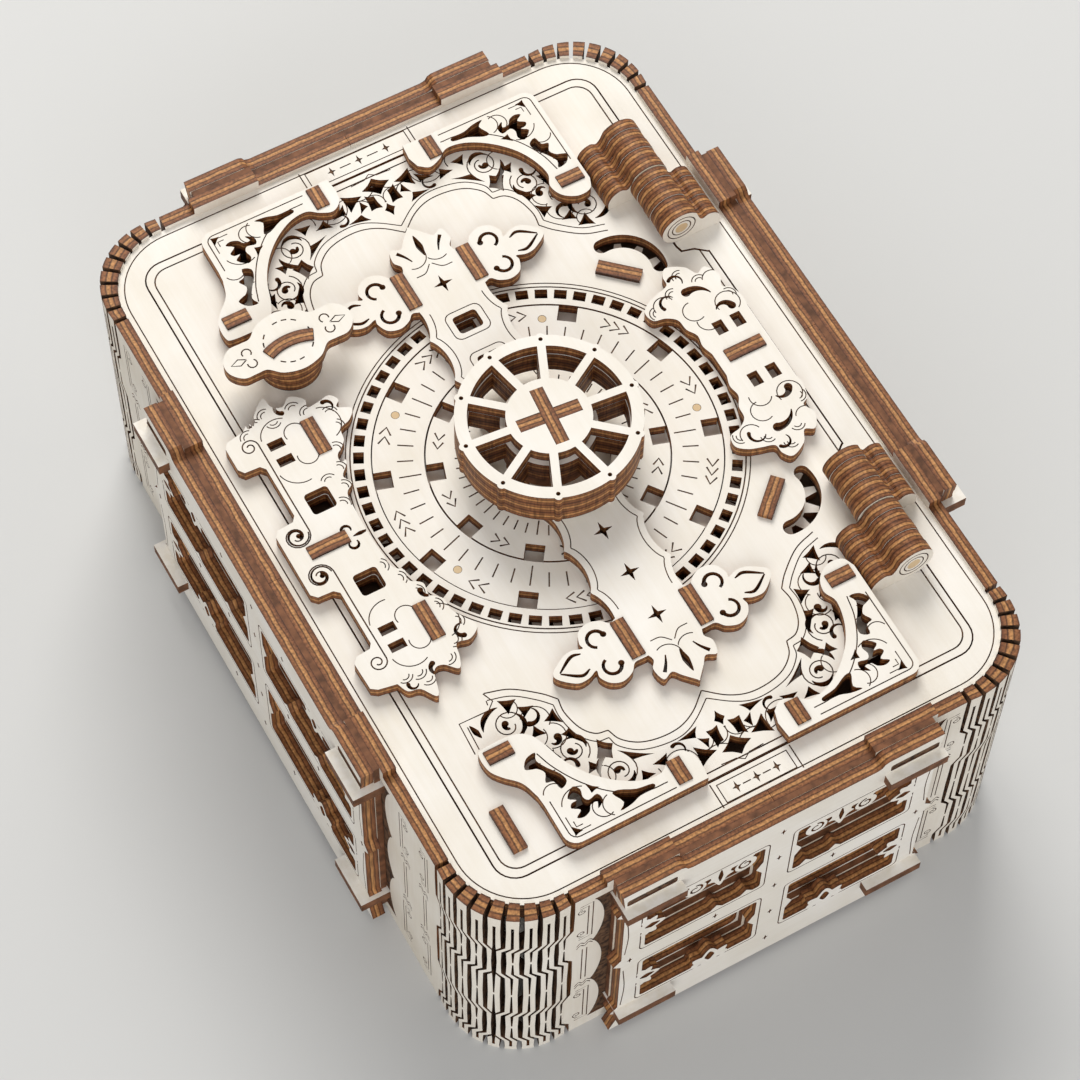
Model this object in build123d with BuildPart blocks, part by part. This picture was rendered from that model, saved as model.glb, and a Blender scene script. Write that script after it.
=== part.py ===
"""Combination lock box in laser-cut plywood: a hinged lid carries the dial, the wheel and the bolt."""
import os
from math import cos, pi, radians, sin
from build123d import *

os.makedirs("parts", exist_ok=True)

# ---- driving dimensions, in millimetres ----
ply = 3.2                      # thickness of one board
gap = 0.2                      # air between a moving layer and the next one
deck_z = 72.0                  # top surface of the lid and of the frame round it
wall_x, wall_y = 69.6, 97.5    # outer faces of the wall band
wall_radius = 20.0
spacer = 1.4                   # depth of the relief frame between wall and outer panel
tab_reach = 2.6                # how far the tabs stand out of the outer panels
raised_edge = 3.0              # how far the crests of the walls and panels pass the deck
low_edge = 1.0                 # how far the rest of their upper edges passes the deck

inner_x, inner_y = wall_x - ply, wall_y - ply
panel_x, panel_y = wall_x + spacer + ply, wall_y + spacer + ply
under_deck = deck_z - ply
floor_z = 9.4                  # underside of the floor board

long_panel_half, short_panel_half = 53.0, 40.5
bar_half = 4.2                 # half the width of the upright bar between two windows
window_rows = ((14.0, 34.0), (42.5, 62.5))
long_window_end, short_window_end = 45.5, 33.0
long_tab, short_tab = (40.0, 53.0), (25.0, 39.5)

lid_x, lid_y, lid_radius = 58.6, 86.6, 5.0
seam = 0.5                     # cut line between lid and frame
tongue_x = 53.0                # the frame reaches in to here under each fixed hinge leaf
tongue_y = (30.0, 51.0)

hinge_x, hinge_z = 54.5, deck_z + 5.0
barrel_radius, pin_radius = 4.9, 1.6
fixed_leaf, moving_leaf = (35.0, 49.85), (50.15, 65.0)
leaf_plies = 5

ring_outer, ring_seam, ring_inner = 39.1, 27.6, 27.2
inner_ring_bore = 14.0
ring_gear_teeth, idler_teeth, gear_module = 56, 12, 1.5
gear_distance = (ring_gear_teeth + idler_teeth) * gear_module / 2
idler_angle = 41.03
hole_count, hole_circle, hole_side = 60, 41.75, 2.4
notch_count = 10

spindle_radius, running = 3.0, 0.06
wheel_radius, wheel_rim, wheel_hub = 20.9, 18.0, 9.5
spoke_width, spoke_turn = 1.9, -5.6
key_length = 14.8

knob_at = (-39.5, 48.2)
knob_radius, knob_spindle_radius = 7.5, 2.4
pinion_radius, pinion_teeth = 6.0, 12
bolt_rest_x = -54.0


def save(part, label):
    """Label a finished piece and write it as one STEP file."""
    part.label = label
    export_step(part, f"parts/{label}.step")


def ring_sector_points(teeth, module, phase, thin):
    """Corner points of a spur gear with straight-sided teeth, one tooth centred on the phase angle."""
    pitch_radius = teeth * module / 2
    root, tip = pitch_radius - 1.15 * module, pitch_radius + 0.85 * module
    pitch_angle = 360 / teeth
    points = []
    for tooth in range(teeth):
        centre = phase + tooth * pitch_angle
        for radius, share in ((root, -0.36), (tip, -0.14), (tip, 0.14), (root, 0.36)):
            angle = radians(centre + share * thin * pitch_angle)
            points.append((radius * cos(angle), radius * sin(angle)))
    return points


# ---- case: horizontal boards ----
def board_tabs():
    """Eight tabs that pass through wall, relief frame and outer panel, drawn in the open sketch."""
    reach_x, reach_y = panel_x + tab_reach, panel_y + tab_reach
    for side in (-1, 1):
        for end in (-1, 1):
            with Locations((side * (inner_x - 4 + reach_x) / 2, end * sum(long_tab) / 2)):
                Rectangle(reach_x - inner_x + 4, long_tab[1] - long_tab[0])
            with Locations((side * sum(short_tab) / 2, end * (inner_y - 4 + reach_y) / 2)):
                Rectangle(short_tab[1] - short_tab[0], reach_y - inner_y + 4)


with BuildPart() as base_plate:
    with BuildSketch():
        RectangleRounded(2 * inner_x, 2 * inner_y, wall_radius - ply)
    extrude(amount=ply)
save(base_plate.part, "base_plate")

with BuildPart() as floor_board:
    with BuildSketch(Plane.XY.offset(floor_z)):
        RectangleRounded(2 * inner_x, 2 * inner_y, wall_radius - ply)
        board_tabs()
    extrude(amount=ply)
save(floor_board.part, "floor_board")

ledge = 2.6                    # the lid rests on this much of the deck frame on three sides
swing_start = 48.0             # past here the lid's lower edge dips as it opens, so the ledge stops
with BuildPart() as deck_frame:
    with BuildSketch(Plane.XY.offset(under_deck - ply)):
        RectangleRounded(2 * inner_x, 2 * inner_y, wall_radius - ply)
        board_tabs()
        left, right = -(lid_x - ledge), lid_x + 2.4
        with Locations(((left + right) / 2, 0)):
            RectangleRounded(right - left, 2 * (lid_y - ledge), lid_radius, mode=Mode.SUBTRACT)
        with Locations(((swing_start + right) / 2, 0)):
            Rectangle(right - swing_start, 2 * (lid_y + seam), mode=Mode.SUBTRACT)
    extrude(amount=ply)
save(deck_frame.part, "deck_frame")

with BuildPart() as top_frame:
    with BuildSketch(Plane.XY.offset(under_deck)):
        RectangleRounded(2 * inner_x, 2 * inner_y, wall_radius - ply)
        RectangleRounded(2 * (lid_x + seam), 2 * (lid_y + seam), lid_radius + seam, mode=Mode.SUBTRACT)
        for end in (-1, 1):
            with Locations(((tongue_x + lid_x + 2) / 2, end * sum(tongue_y) / 2)):
                Rectangle(lid_x + 2 - tongue_x, tongue_y[1] - tongue_y[0])
    extrude(amount=ply)
save(top_frame.part, "top_frame")


# ---- case: upright boards ----
def cut_long_windows(side, low, high, inset):
    """Cut the windows and tab slots of one long side between two distances from the middle."""
    middle, depth = side * (low + high) / 2, high - low
    for end in (-1, 1):
        for bottom, top in window_rows:
            length = long_window_end - bar_half - 2 * inset
            with Locations((middle, end * (long_window_end + bar_half) / 2, (bottom + top) / 2)):
                Box(depth, length, top - bottom - 2 * inset, mode=Mode.SUBTRACT)
        for tab_z in (floor_z, under_deck - ply):
            with Locations((middle, end * sum(long_tab) / 2, tab_z + ply / 2)):
                Box(depth, long_tab[1] - long_tab[0], ply, mode=Mode.SUBTRACT)


def cut_short_windows(side, low, high, inset):
    """The same for one short side."""
    middle, depth = side * (low + high) / 2, high - low
    for end in (-1, 1):
        for bottom, top in window_rows:
            length = short_window_end - bar_half - 2 * inset
            with Locations((end * (short_window_end + bar_half) / 2, middle, (bottom + top) / 2)):
                Box(length, depth, top - bottom - 2 * inset, mode=Mode.SUBTRACT)
        for tab_z in (floor_z, under_deck - ply):
            with Locations((end * sum(short_tab) / 2, middle, tab_z + ply / 2)):
                Box(short_tab[1] - short_tab[0], depth, ply, mode=Mode.SUBTRACT)


crest_long, crest_short = (38.0, 54.0), (24.0, 42.0)
crest_z = deck_z + (low_edge + raised_edge) / 2
joint_gap = 0.05
for side, side_name in ((-1, "left"), (1, "right")):
    for end, end_name in ((-1, "near"), (1, "far")):
        with BuildPart() as corner_wall:
            with BuildSketch():
                RectangleRounded(2 * wall_x, 2 * wall_y, wall_radius)
                RectangleRounded(2 * inner_x, 2 * inner_y, wall_radius - ply, mode=Mode.SUBTRACT)
                with Locations((side * (wall_x / 2 + joint_gap), end * (wall_y / 2 + joint_gap))):
                    Rectangle(wall_x, wall_y, mode=Mode.INTERSECT)
            extrude(amount=deck_z + low_edge)
            with Locations((side * (wall_x - ply / 2), end * sum(crest_long) / 2, crest_z)):
                Box(ply, crest_long[1] - crest_long[0], raised_edge - low_edge)
            with Locations((side * sum(crest_short) / 2, end * (wall_y - ply / 2), crest_z)):
                Box(crest_short[1] - crest_short[0], ply, raised_edge - low_edge)
            cut_long_windows(side, inner_x - 1, wall_x + 1, 1.2)
            cut_short_windows(end, inner_y - 1, wall_y + 1, 1.2)
        save(corner_wall.part, f"corner_wall_{side_name}_{end_name}")

panel_bottom, frame_bottom = 2.0, 4.0
panel_top = deck_z + low_edge


def long_board(x, thickness, bottom, half):
    """An upright board along a long side, with a raised crest near each end."""
    with Locations((x, 0, (bottom + panel_top) / 2)):
        Box(thickness, 2 * half, panel_top - bottom)
    for end in (-1, 1):
        with Locations((x, end * (crest_long[0] + half) / 2, crest_z)):
            Box(thickness, half - crest_long[0], raised_edge - low_edge)


def short_board(y, thickness, bottom, half):
    """The same along a short side."""
    with Locations((0, y, (bottom + panel_top) / 2)):
        Box(2 * half, thickness, panel_top - bottom)
    for end in (-1, 1):
        with Locations((end * (crest_short[0] + half) / 2, y, crest_z)):
            Box(half - crest_short[0], thickness, raised_edge - low_edge)


for side, side_name in ((-1, "left"), (1, "right")):
    with BuildPart() as long_panel:
        long_board(side * (panel_x - ply / 2), ply, panel_bottom, long_panel_half)
        cut_long_windows(side, panel_x - ply - 1, panel_x + 1, 0)
    save(long_panel.part, f"long_panel_{side_name}")
for side, side_name in ((-1, "near"), (1, "far")):
    with BuildPart() as short_panel:
        short_board(side * (panel_y - ply / 2), ply, panel_bottom, short_panel_half)
        cut_short_windows(side, panel_y - ply - 1, panel_y + 1, 0)
    save(short_panel.part, f"short_panel_{side_name}")

with BuildPart() as long_relief_frames:
    for side in (-1, 1):
        long_board(side * (wall_x + spacer / 2), spacer, frame_bottom, long_panel_half - 1.5)
        cut_long_windows(side, wall_x, wall_x + spacer, 0.6)
save(long_relief_frames.part, "long_relief_frames")

with BuildPart() as short_relief_frames:
    for side in (-1, 1):
        short_board(side * (wall_y + spacer / 2), spacer, frame_bottom, short_panel_half - 1.5)
        cut_short_windows(side, wall_y, wall_y + spacer, 0.6)
save(short_relief_frames.part, "short_relief_frames")

liner_low, liner_high = floor_z + ply, under_deck - ply
with BuildPart() as long_liners:
    with Locations([(side * (inner_x - ply / 2), 0, (liner_low + liner_high) / 2) for side in (-1, 1)]):
        Box(ply, 140, liner_high - liner_low)
save(long_liners.part, "long_liners")

with BuildPart() as short_liners:
    with Locations([(0, side * (inner_y - ply / 2), (liner_low + liner_high) / 2) for side in (-1, 1)]):
        Box(88, ply, liner_high - liner_low)
save(short_liners.part, "short_liners")

# ---- hinges ----
tail_height = 3.6
hinge_leaves = (
    ("hinge_fixed", hinge_x + 10.5, fixed_leaf, pin_radius),
    ("hinge_moving", hinge_x - 10.5, moving_leaf, pin_radius + running),
)
leaf_pitch = (fixed_leaf[1] - fixed_leaf[0]) / leaf_plies
for end, end_name in ((-1, "near"), (1, "far")):
    # each leaf is five plies side by side, each a barrel with a tail that lies on the board
    for leaf_name, tail_end, leaf_span, bore in hinge_leaves:
        with BuildPart() as hinge_leaf:
            for number in range(leaf_plies):
                front = min(end * leaf_span[0], end * leaf_span[1]) + number * leaf_pitch
                with BuildSketch(Plane.XZ.offset(-front)):
                    with Locations((hinge_x, hinge_z)):
                        Circle(barrel_radius)
                    with Locations(((hinge_x + tail_end) / 2, deck_z + tail_height / 2)):
                        Rectangle(abs(hinge_x - tail_end), tail_height)
                    with Locations((hinge_x, hinge_z)):
                        Circle(bore, mode=Mode.SUBTRACT)
                extrude(amount=-(leaf_pitch - 0.02))
        save(hinge_leaf.part, f"{leaf_name}_{end_name}")
    with BuildPart() as hinge_pin:
        with BuildSketch(Plane.XZ.offset(-min(end * fixed_leaf[0], end * moving_leaf[1]))):
            with Locations((hinge_x, hinge_z)):
                Circle(pin_radius)
        extrude(amount=-(moving_leaf[1] - fixed_leaf[0]))
    save(hinge_pin.part, f"hinge_pin_{end_name}")

# ---- lid: where its tenons stand, as centre, size and turn ----
bridge_keys = [(side * 8.9, end * 50.5, ply, 10.0, 0) for side in (-1, 1) for end in (-1, 1)]
left_keys = [(-43.9, 26.6, ply, 9.4, 0), (-43.9, -26.0, ply, 9.4, 0), (-53.2, 0.8, 8.8, ply, 0)]
right_keys = [(51.7, 0.8, 9.6, ply, 0)]
bracket_keys = {
    "far_left": [(-14.3, 82.6, ply, 5.8, 0), (-45.6, 62.4, 5.8, ply, 0)],
    "far_right": [(15.3, 82.6, ply, 5.8, 0), (39.7, 60.6, 5.8, ply, 0)],
    "near_left": [(-14.6, -82.4, ply, 5.8, 0), (-45.8, -60.8, 5.8, ply, 0)],
    "near_right": [(14.5, -82.4, ply, 5.8, 0), (39.6, -59.0, 5.8, ply, 0)],
}
lone_keys = [(-52.2, -76.2, ply, 10.6, 0), (38.4, 33.5, 9.6, ply, -43), (38.4, -33.5, 9.6, ply, 43)]
all_keys = bridge_keys + left_keys + right_keys + lone_keys
for corner_keys in bracket_keys.values():
    all_keys = all_keys + corner_keys


def cut_keys(keys):
    """Cut the slots of some tenons out of the open sketch."""
    for x, y, width, length, turn in keys:
        with Locations(Location((x, y, 0), (0, 0, turn))):
            Rectangle(width, length, mode=Mode.SUBTRACT)


key_top = deck_z + ply + 0.4
with BuildPart() as lid_keys:
    with BuildSketch(Plane.XY.offset(under_deck)):
        for x, y, width, length, turn in all_keys:
            with Locations(Location((x, y, 0), (0, 0, turn))):
                Rectangle(width, length)
    extrude(amount=key_top - under_deck)
save(lid_keys.part, "lid_keys")

idler_places = []
for end in (-1, 1):
    angle = radians(end * idler_angle)
    idler_places.append((gear_distance * cos(angle), gear_distance * sin(angle)))

with BuildPart() as lid_plate:
    with BuildSketch(Plane.XY.offset(under_deck)):
        RectangleRounded(2 * lid_x, 2 * lid_y, lid_radius)
        Circle(ring_outer + 0.3, mode=Mode.SUBTRACT)
        with PolarLocations(hole_circle, hole_count, start_angle=3):
            Rectangle(hole_side, hole_side, mode=Mode.SUBTRACT)
        for end in (-1, 1):
            with Locations(((tongue_x - seam + lid_x + 1) / 2, end * sum(tongue_y) / 2)):
                cut_length = tongue_y[1] - tongue_y[0] + 2 * seam
                Rectangle(lid_x + 1 - tongue_x + seam, cut_length, mode=Mode.SUBTRACT)
        for (x, y), start in zip(idler_places, (-75, -15)):
            SlotArc(CenterArc((x, y), 8.6, start, 90), 3.4, mode=Mode.SUBTRACT)
        with Locations(knob_at):
            Circle(knob_spindle_radius + running, mode=Mode.SUBTRACT)
        cut_keys(all_keys)
    extrude(amount=ply)
save(lid_plate.part, "lid_plate")

backing_top = under_deck - ply
with BuildPart() as lid_backing:
    with BuildSketch(Plane.XY.offset(backing_top - ply)):
        with Locations((-1, 0)):
            RectangleRounded(102, 164, 8)
        Circle(spindle_radius + running, mode=Mode.SUBTRACT)
        with Locations(knob_at):
            Circle(knob_spindle_radius + running, mode=Mode.SUBTRACT)
        with Locations(idler_places):
            Circle(pin_radius, mode=Mode.SUBTRACT)
    extrude(amount=ply)
save(lid_backing.part, "lid_backing")

with BuildPart() as gear_guide:
    with BuildSketch(Plane.XY.offset(backing_top)):
        Circle(32.9)
        Circle(31.1, mode=Mode.SUBTRACT)
    extrude(amount=ply - 2 * gap)
save(gear_guide.part, "gear_guide")

with BuildPart() as lid_blocks:
    with BuildSketch(Plane.XY.offset(backing_top)):
        with Locations([(side * 30 - 1, end * 72) for side in (-1, 1) for end in (-1, 1)]):
            RectangleRounded(34, 10, 3)
    extrude(amount=ply)
save(lid_blocks.part, "lid_blocks")

with BuildPart() as idler_axles:
    with BuildSketch(Plane.XY.offset(backing_top - ply)):
        with Locations(idler_places):
            Circle(pin_radius)
    extrude(amount=2 * ply)
save(idler_axles.part, "idler_axles")

# ---- lid: raised ornament boards ----
with BuildPart() as dial_bridge:
    with BuildSketch(Plane.XY.offset(deck_z)):
        Rectangle(19, 106)
        for end in (-1, 1):
            with Locations((0, end * 50.5)):
                Rectangle(38, 11)
            with Locations((0, end * 57)):
                Rectangle(12, 12)
            with Locations((0, end * 63)):
                Rectangle(5, 5)
            with Locations([(side * 21, end * 50.5) for side in (-1, 1)]):
                Circle(5.2)
        with Locations((0, 36.7), (0, 25)):
            RectangleRounded(5.8, 4.8, 0.8, mode=Mode.SUBTRACT)
        Circle(spindle_radius + running, mode=Mode.SUBTRACT)
        cut_keys(bridge_keys)
    extrude(amount=ply)
save(dial_bridge.part, "dial_bridge")

with BuildPart() as ornament_left:
    with BuildSketch(Plane.XY.offset(deck_z)):
        with Locations((-48.0, 1.0)):
            Rectangle(16, 66)
        with Locations((-50.0, 31.5), (-50.0, 1.0), (-50.0, -29.5)):
            Rectangle(16, 11)
        with Locations((-45.0, 36), (-45.0, -33)):
            RectangleRounded(12, 10, 3)
        with Locations((-49.6, 11.6), (-49.6, -11.6)):
            RectangleRounded(5.7, 5.7, 0.8, mode=Mode.SUBTRACT)
        cut_keys(left_keys)
    extrude(amount=ply)
save(ornament_left.part, "ornament_left")

with BuildPart() as ornament_right:
    with BuildSketch(Plane.XY.offset(deck_z)):
        with Locations((51.5, 0)):
            RectangleRounded(13, 40, 3)
        with Locations((50.0, 21), (50.0, -21)):
            Circle(6)
        with Locations([(x, y) for x in (49.2, 53.9) for y in (8.4, -7.0)]):
            Rectangle(2.3, 3.5, mode=Mode.SUBTRACT)
        cut_keys(right_keys)
    extrude(amount=ply)
save(ornament_right.part, "ornament_right")

for side, side_name, edge in ((-1, "left", 46.5), (1, "right", 43.6)):
    for end, end_name in ((-1, "near"), (1, "far")):
        with BuildPart() as bracket:
            with BuildSketch(Plane.XY.offset(deck_z)):
                with Locations((side * (edge + 10) / 2, end * (86.0 + 52) / 2)):
                    Rectangle(edge - 10, 86.0 - 52)
                if side < 0:
                    with Locations((-46.4, end * 61.6)):
                        Rectangle(7.2, 9.0)
                with Locations((side * 6.0, end * 46.0)):
                    Circle(32.5, mode=Mode.SUBTRACT)
                with Locations((side * 20.0, end * 54.0)):
                    Circle(19.0, mode=Mode.SUBTRACT)
                with Locations(knob_at):
                    Circle(knob_radius + 1.2, mode=Mode.SUBTRACT)
                cut_keys(bracket_keys[f"{end_name}_{side_name}"])
            extrude(amount=ply)
        save(bracket.part, f"bracket_{end_name}_{side_name}")

# ---- dial rings ----
ring_top = deck_z - gap
gear_low, gear_high = backing_top + gap, under_deck - gap
with BuildPart() as outer_ring:
    with BuildSketch(Plane.XY.offset(gear_high)):
        Circle(ring_outer)
        Circle(ring_seam, mode=Mode.SUBTRACT)
        with PolarLocations(ring_outer - 2.0, notch_count, start_angle=18):
            Rectangle(4.0, 4.5, mode=Mode.SUBTRACT)
    extrude(amount=ring_top - gear_high)
save(outer_ring.part, "outer_ring")

with BuildPart() as ring_gear:
    with BuildSketch(Plane.XY.offset(gear_low)):
        with BuildLine():
            Polyline(*ring_sector_points(ring_gear_teeth, gear_module, 0, 1.0), close=True)
        make_face()
        Circle(33.0, mode=Mode.SUBTRACT)
    extrude(amount=gear_high - gear_low)
save(ring_gear.part, "ring_gear")

with BuildPart() as inner_ring:
    with BuildSketch(Plane.XY.offset(gear_high)):
        Circle(ring_inner)
        Circle(inner_ring_bore, mode=Mode.SUBTRACT)
        with PolarLocations(ring_inner - 2.0, notch_count, start_angle=18):
            Rectangle(4.0, 4.0, mode=Mode.SUBTRACT)
    extrude(amount=ring_top - gear_high)
save(inner_ring.part, "inner_ring")

with BuildPart() as ring_carrier:
    with BuildSketch(Plane.XY.offset(gear_low)):
        Circle(31.0)
        Circle(spindle_radius + running, mode=Mode.SUBTRACT)
    extrude(amount=gear_high - gear_low)
save(ring_carrier.part, "ring_carrier")

# an idler is turned so that its teeth fall in the gaps of the ring gear
tooth_ratio = ring_gear_teeth / idler_teeth
for (x, y), end, end_name in zip(idler_places, (-1, 1), ("near", "far")):
    facing = end * idler_angle
    ring_pitch, idler_pitch = 360 / ring_gear_teeth, 360 / idler_teeth
    offset_to_tooth = round(facing / ring_pitch) * ring_pitch - facing
    phase = facing + 180 + idler_pitch / 2 - offset_to_tooth * tooth_ratio
    with BuildPart() as idler:
        with BuildSketch(Plane.XY.offset(gear_low)):
            with Locations((x, y)):
                with BuildLine():
                    points = ring_sector_points(idler_teeth, gear_module, phase, 1.0)
                    Polyline(*[(x + px, y + py) for px, py in points], close=True)
            make_face()
            with Locations((x, y)):
                Circle(pin_radius + running, mode=Mode.SUBTRACT)
        extrude(amount=gear_high - gear_low)
    save(idler.part, f"idler_gear_{end_name}")

# ---- handwheel ----
wheel_low = deck_z + ply + gap


def wheel_outline(rim, hub_gap):
    """A spoked wheel in the open sketch, with the crossed key slot in its hub."""
    Circle(wheel_radius)
    Circle(rim, mode=Mode.SUBTRACT)
    Circle(wheel_hub + hub_gap)
    for spoke in range(notch_count):
        turn = spoke_turn + spoke * 360 / notch_count
        middle = (wheel_hub + wheel_rim) / 2
        at = (middle * cos(radians(turn)), middle * sin(radians(turn)), 0)
        with Locations(Location(at, (0, 0, turn))):
            Rectangle(wheel_rim - wheel_hub + 2, spoke_width)
    for turn in (spoke_turn, spoke_turn + 90):
        with Locations(Location((0, 0, 0), (0, 0, turn))):
            Rectangle(key_length, ply, mode=Mode.SUBTRACT)


wheel_levels = [wheel_low + number * ply for number in range(5)]
with BuildPart() as wheel_foot:
    with BuildSketch(Plane.XY.offset(wheel_levels[0])):
        Circle(10.5)
        for turn in (spoke_turn, spoke_turn + 90):
            with Locations(Location((0, 0, 0), (0, 0, turn))):
                Rectangle(key_length, ply, mode=Mode.SUBTRACT)
    extrude(amount=ply)
save(wheel_foot.part, "wheel_foot")

for name, level, hub_gap in (("wheel_lower", 1, 1.5), ("wheel_middle", 2, 1.5), ("wheel_upper", 3, 0.0)):
    with BuildPart() as wheel_ply:
        with BuildSketch(Plane.XY.offset(wheel_levels[level])):
            wheel_outline(wheel_rim, hub_gap)
        extrude(amount=ply)
    save(wheel_ply.part, name)

with BuildPart() as wheel_keys:
    with BuildSketch(Plane.XY.offset(wheel_levels[0])):
        for turn in (spoke_turn, spoke_turn + 90):
            with Locations(Location((0, 0, 0), (0, 0, turn))):
                Rectangle(key_length, ply)
    extrude(amount=4 * ply)
save(wheel_keys.part, "wheel_keys")

bolt_low, bolt_high = backing_top - 2 * ply + gap, backing_top - ply - gap
with BuildPart() as wheel_spindle:
    with BuildSketch(Plane.XY.offset(bolt_low)):
        Circle(spindle_radius)
    extrude(amount=wheel_levels[0] - bolt_low)
    with BuildSketch(Plane.XY.offset(bolt_low)):
        Circle(8)
    extrude(amount=bolt_high - bolt_low)
save(wheel_spindle.part, "wheel_spindle")

# ---- knob and bolt ----
knob_x, knob_y = knob_at
knob_levels = [deck_z + gap, deck_z + gap + ply, deck_z + gap + 2 * ply, deck_z + gap + 3 * ply]
with BuildPart() as knob_stack:
    with BuildSketch(Plane.XY.offset(knob_levels[0])):
        with Locations(knob_at):
            Circle(knob_radius)
            Rectangle(11.6, ply, mode=Mode.SUBTRACT)
    extrude(amount=2 * ply)
save(knob_stack.part, "knob_stack")

with BuildPart() as knob_plate:
    with BuildSketch(Plane.XY.offset(knob_levels[2])):
        with Locations(knob_at):
            Circle(8.2)
        with Locations((knob_x - 11, knob_y), (knob_x + 11, knob_y)):
            Circle(4.6)
        with Locations(knob_at):
            Rectangle(22, 4)
            Rectangle(11.6, ply, mode=Mode.SUBTRACT)
    extrude(amount=ply)
save(knob_plate.part, "knob_plate")

with BuildPart() as knob_key:
    with BuildSketch(Plane.XY.offset(knob_levels[0])):
        with Locations(knob_at):
            Rectangle(11.6, ply)
    extrude(amount=3 * ply + 0.4)
save(knob_key.part, "knob_key")

rack_module = 2 * pinion_radius / pinion_teeth
with BuildPart() as knob_pinion:
    with BuildSketch(Plane.XY.offset(bolt_low)):
        with BuildLine():
            teeth = ring_sector_points(pinion_teeth, rack_module, -90, 0.8)
            Polyline(*[(knob_x + px, knob_y + py) for px, py in teeth], close=True)
        make_face()
    extrude(amount=bolt_high - bolt_low)
    with BuildSketch(Plane.XY.offset(bolt_high)):
        with Locations(knob_at):
            Circle(knob_spindle_radius)
    extrude(amount=knob_levels[0] - bolt_high)
save(knob_pinion.part, "knob_pinion")

rack_line = knob_y - pinion_radius
tooth_pitch = pi * rack_module
with BuildPart() as lock_bolt:
    with BuildSketch(Plane.XY.offset(bolt_low)):
        bar_top = rack_line - 1.3 * rack_module
        with Locations(((bolt_rest_x - 26) / 2, (34 + bar_top) / 2)):
            Rectangle(-26 - bolt_rest_x, bar_top - 34)
        with Locations((-30, 0)):
            Rectangle(8, 2 * 40)
        with Locations(((bolt_rest_x - 26) / 2, -37)):
            Rectangle(-26 - bolt_rest_x, 6)
        for number in range(-1, 4):
            middle = knob_x + (number + 0.5) * tooth_pitch
            with BuildLine():
                top_y, low_y = rack_line + 0.75 * rack_module, bar_top - 0.2
                Polyline(
                    (middle - 0.95, low_y), (middle - 0.42, top_y),
                    (middle + 0.42, top_y), (middle + 0.95, low_y),
                    close=True,
                )
            make_face()
    extrude(amount=bolt_high - bolt_low)
save(lock_bolt.part, "lock_bolt")

with BuildPart() as bolt_guides:
    guide_mid, slide_low = backing_top - 2 * ply, bolt_low - gap
    guide_x, guide_length = -50.2, 2.6
    for y_middle, width in ((37.4, 7.2), (-37, 6.4)):
        with Locations((guide_x, y_middle, guide_mid)):
            Box(guide_length, 13, 2 * ply)
        with Locations((guide_x, y_middle, (slide_low + backing_top - ply) / 2)):
            Box(guide_length, width + 0.4, backing_top - ply - slide_low, mode=Mode.SUBTRACT)
save(bolt_guides.part, "bolt_guides")
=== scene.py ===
# %% [markdown]
# # A plywood lock box
# The box is cut by laser from thin plywood. This lesson dresses the working frame of the box in its real
# outlines: fretwork, living hinges, engraved lines and burnt edges. All sizes below are in millimetres and
# turn into metres when a mesh is made.

# %% Load the frame
import math

import bmesh
import bpy
import numpy as np
from mathutils import Matrix, Vector
from mathutils.geometry import delaunay_2d_cdt


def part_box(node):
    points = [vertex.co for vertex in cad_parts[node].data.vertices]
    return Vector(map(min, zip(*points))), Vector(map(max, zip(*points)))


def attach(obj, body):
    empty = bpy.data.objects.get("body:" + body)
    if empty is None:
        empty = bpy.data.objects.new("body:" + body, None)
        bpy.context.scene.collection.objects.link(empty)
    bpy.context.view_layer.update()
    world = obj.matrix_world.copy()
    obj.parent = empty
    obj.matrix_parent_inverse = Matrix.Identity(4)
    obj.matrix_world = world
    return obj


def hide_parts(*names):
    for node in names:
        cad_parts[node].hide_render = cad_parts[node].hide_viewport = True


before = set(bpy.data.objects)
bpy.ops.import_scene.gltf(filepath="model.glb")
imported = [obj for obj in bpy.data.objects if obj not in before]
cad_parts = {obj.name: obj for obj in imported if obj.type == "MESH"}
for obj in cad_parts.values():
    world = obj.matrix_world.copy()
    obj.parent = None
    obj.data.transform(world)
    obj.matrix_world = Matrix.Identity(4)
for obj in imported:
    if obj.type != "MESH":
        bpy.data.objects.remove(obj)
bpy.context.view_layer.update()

# %% [markdown]
# ## Heights and edges
# Every board is one ply thick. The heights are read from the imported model, so a board made here lies where
# the working board lies.

# %% Heights and edges
MM = 0.001
PLY = 3.2


def span_z(node):
    """Lowest and highest z of a node, in millimetres."""
    low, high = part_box(node)
    return low.z / MM, high.z / MM


DECK = span_z("lid_plate")[1]
RING_TOP = span_z("outer_ring")[1]
WALL_X, WALL_Y, WALL_R = 69.6, 97.5, 20.0
LID_X, LID_Y = 58.6, 86.6
PANEL_X, PANEL_Y = 74.2, 102.2
TURN = 2 * math.pi
print("deck at", round(DECK, 2), "ring top at", round(RING_TOP, 2))

# %% [markdown]
# ## Outlines
# An outline is a closed loop of points in the plane of its board. Straight shapes are written as corners,
# round ones as arcs, and the flowing ones as a smooth curve through a few given points. A stroke is a
# path with a width, which suits scrolls, stems and engraved lines.

# %% Outlines
def circle(x, y, r, n=40):
    """x and y plus r times the cosine and sine of the angle."""
    a = np.arange(n) * TURN / n
    return np.stack([x + r * np.cos(a), y + r * np.sin(a)], 1)


def arc(x, y, r, start, end, n=16):
    """An open arc between two angles in degrees."""
    a = np.radians(np.linspace(start, end, n))
    return np.stack([x + r * np.cos(a), y + r * np.sin(a)], 1)


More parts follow.
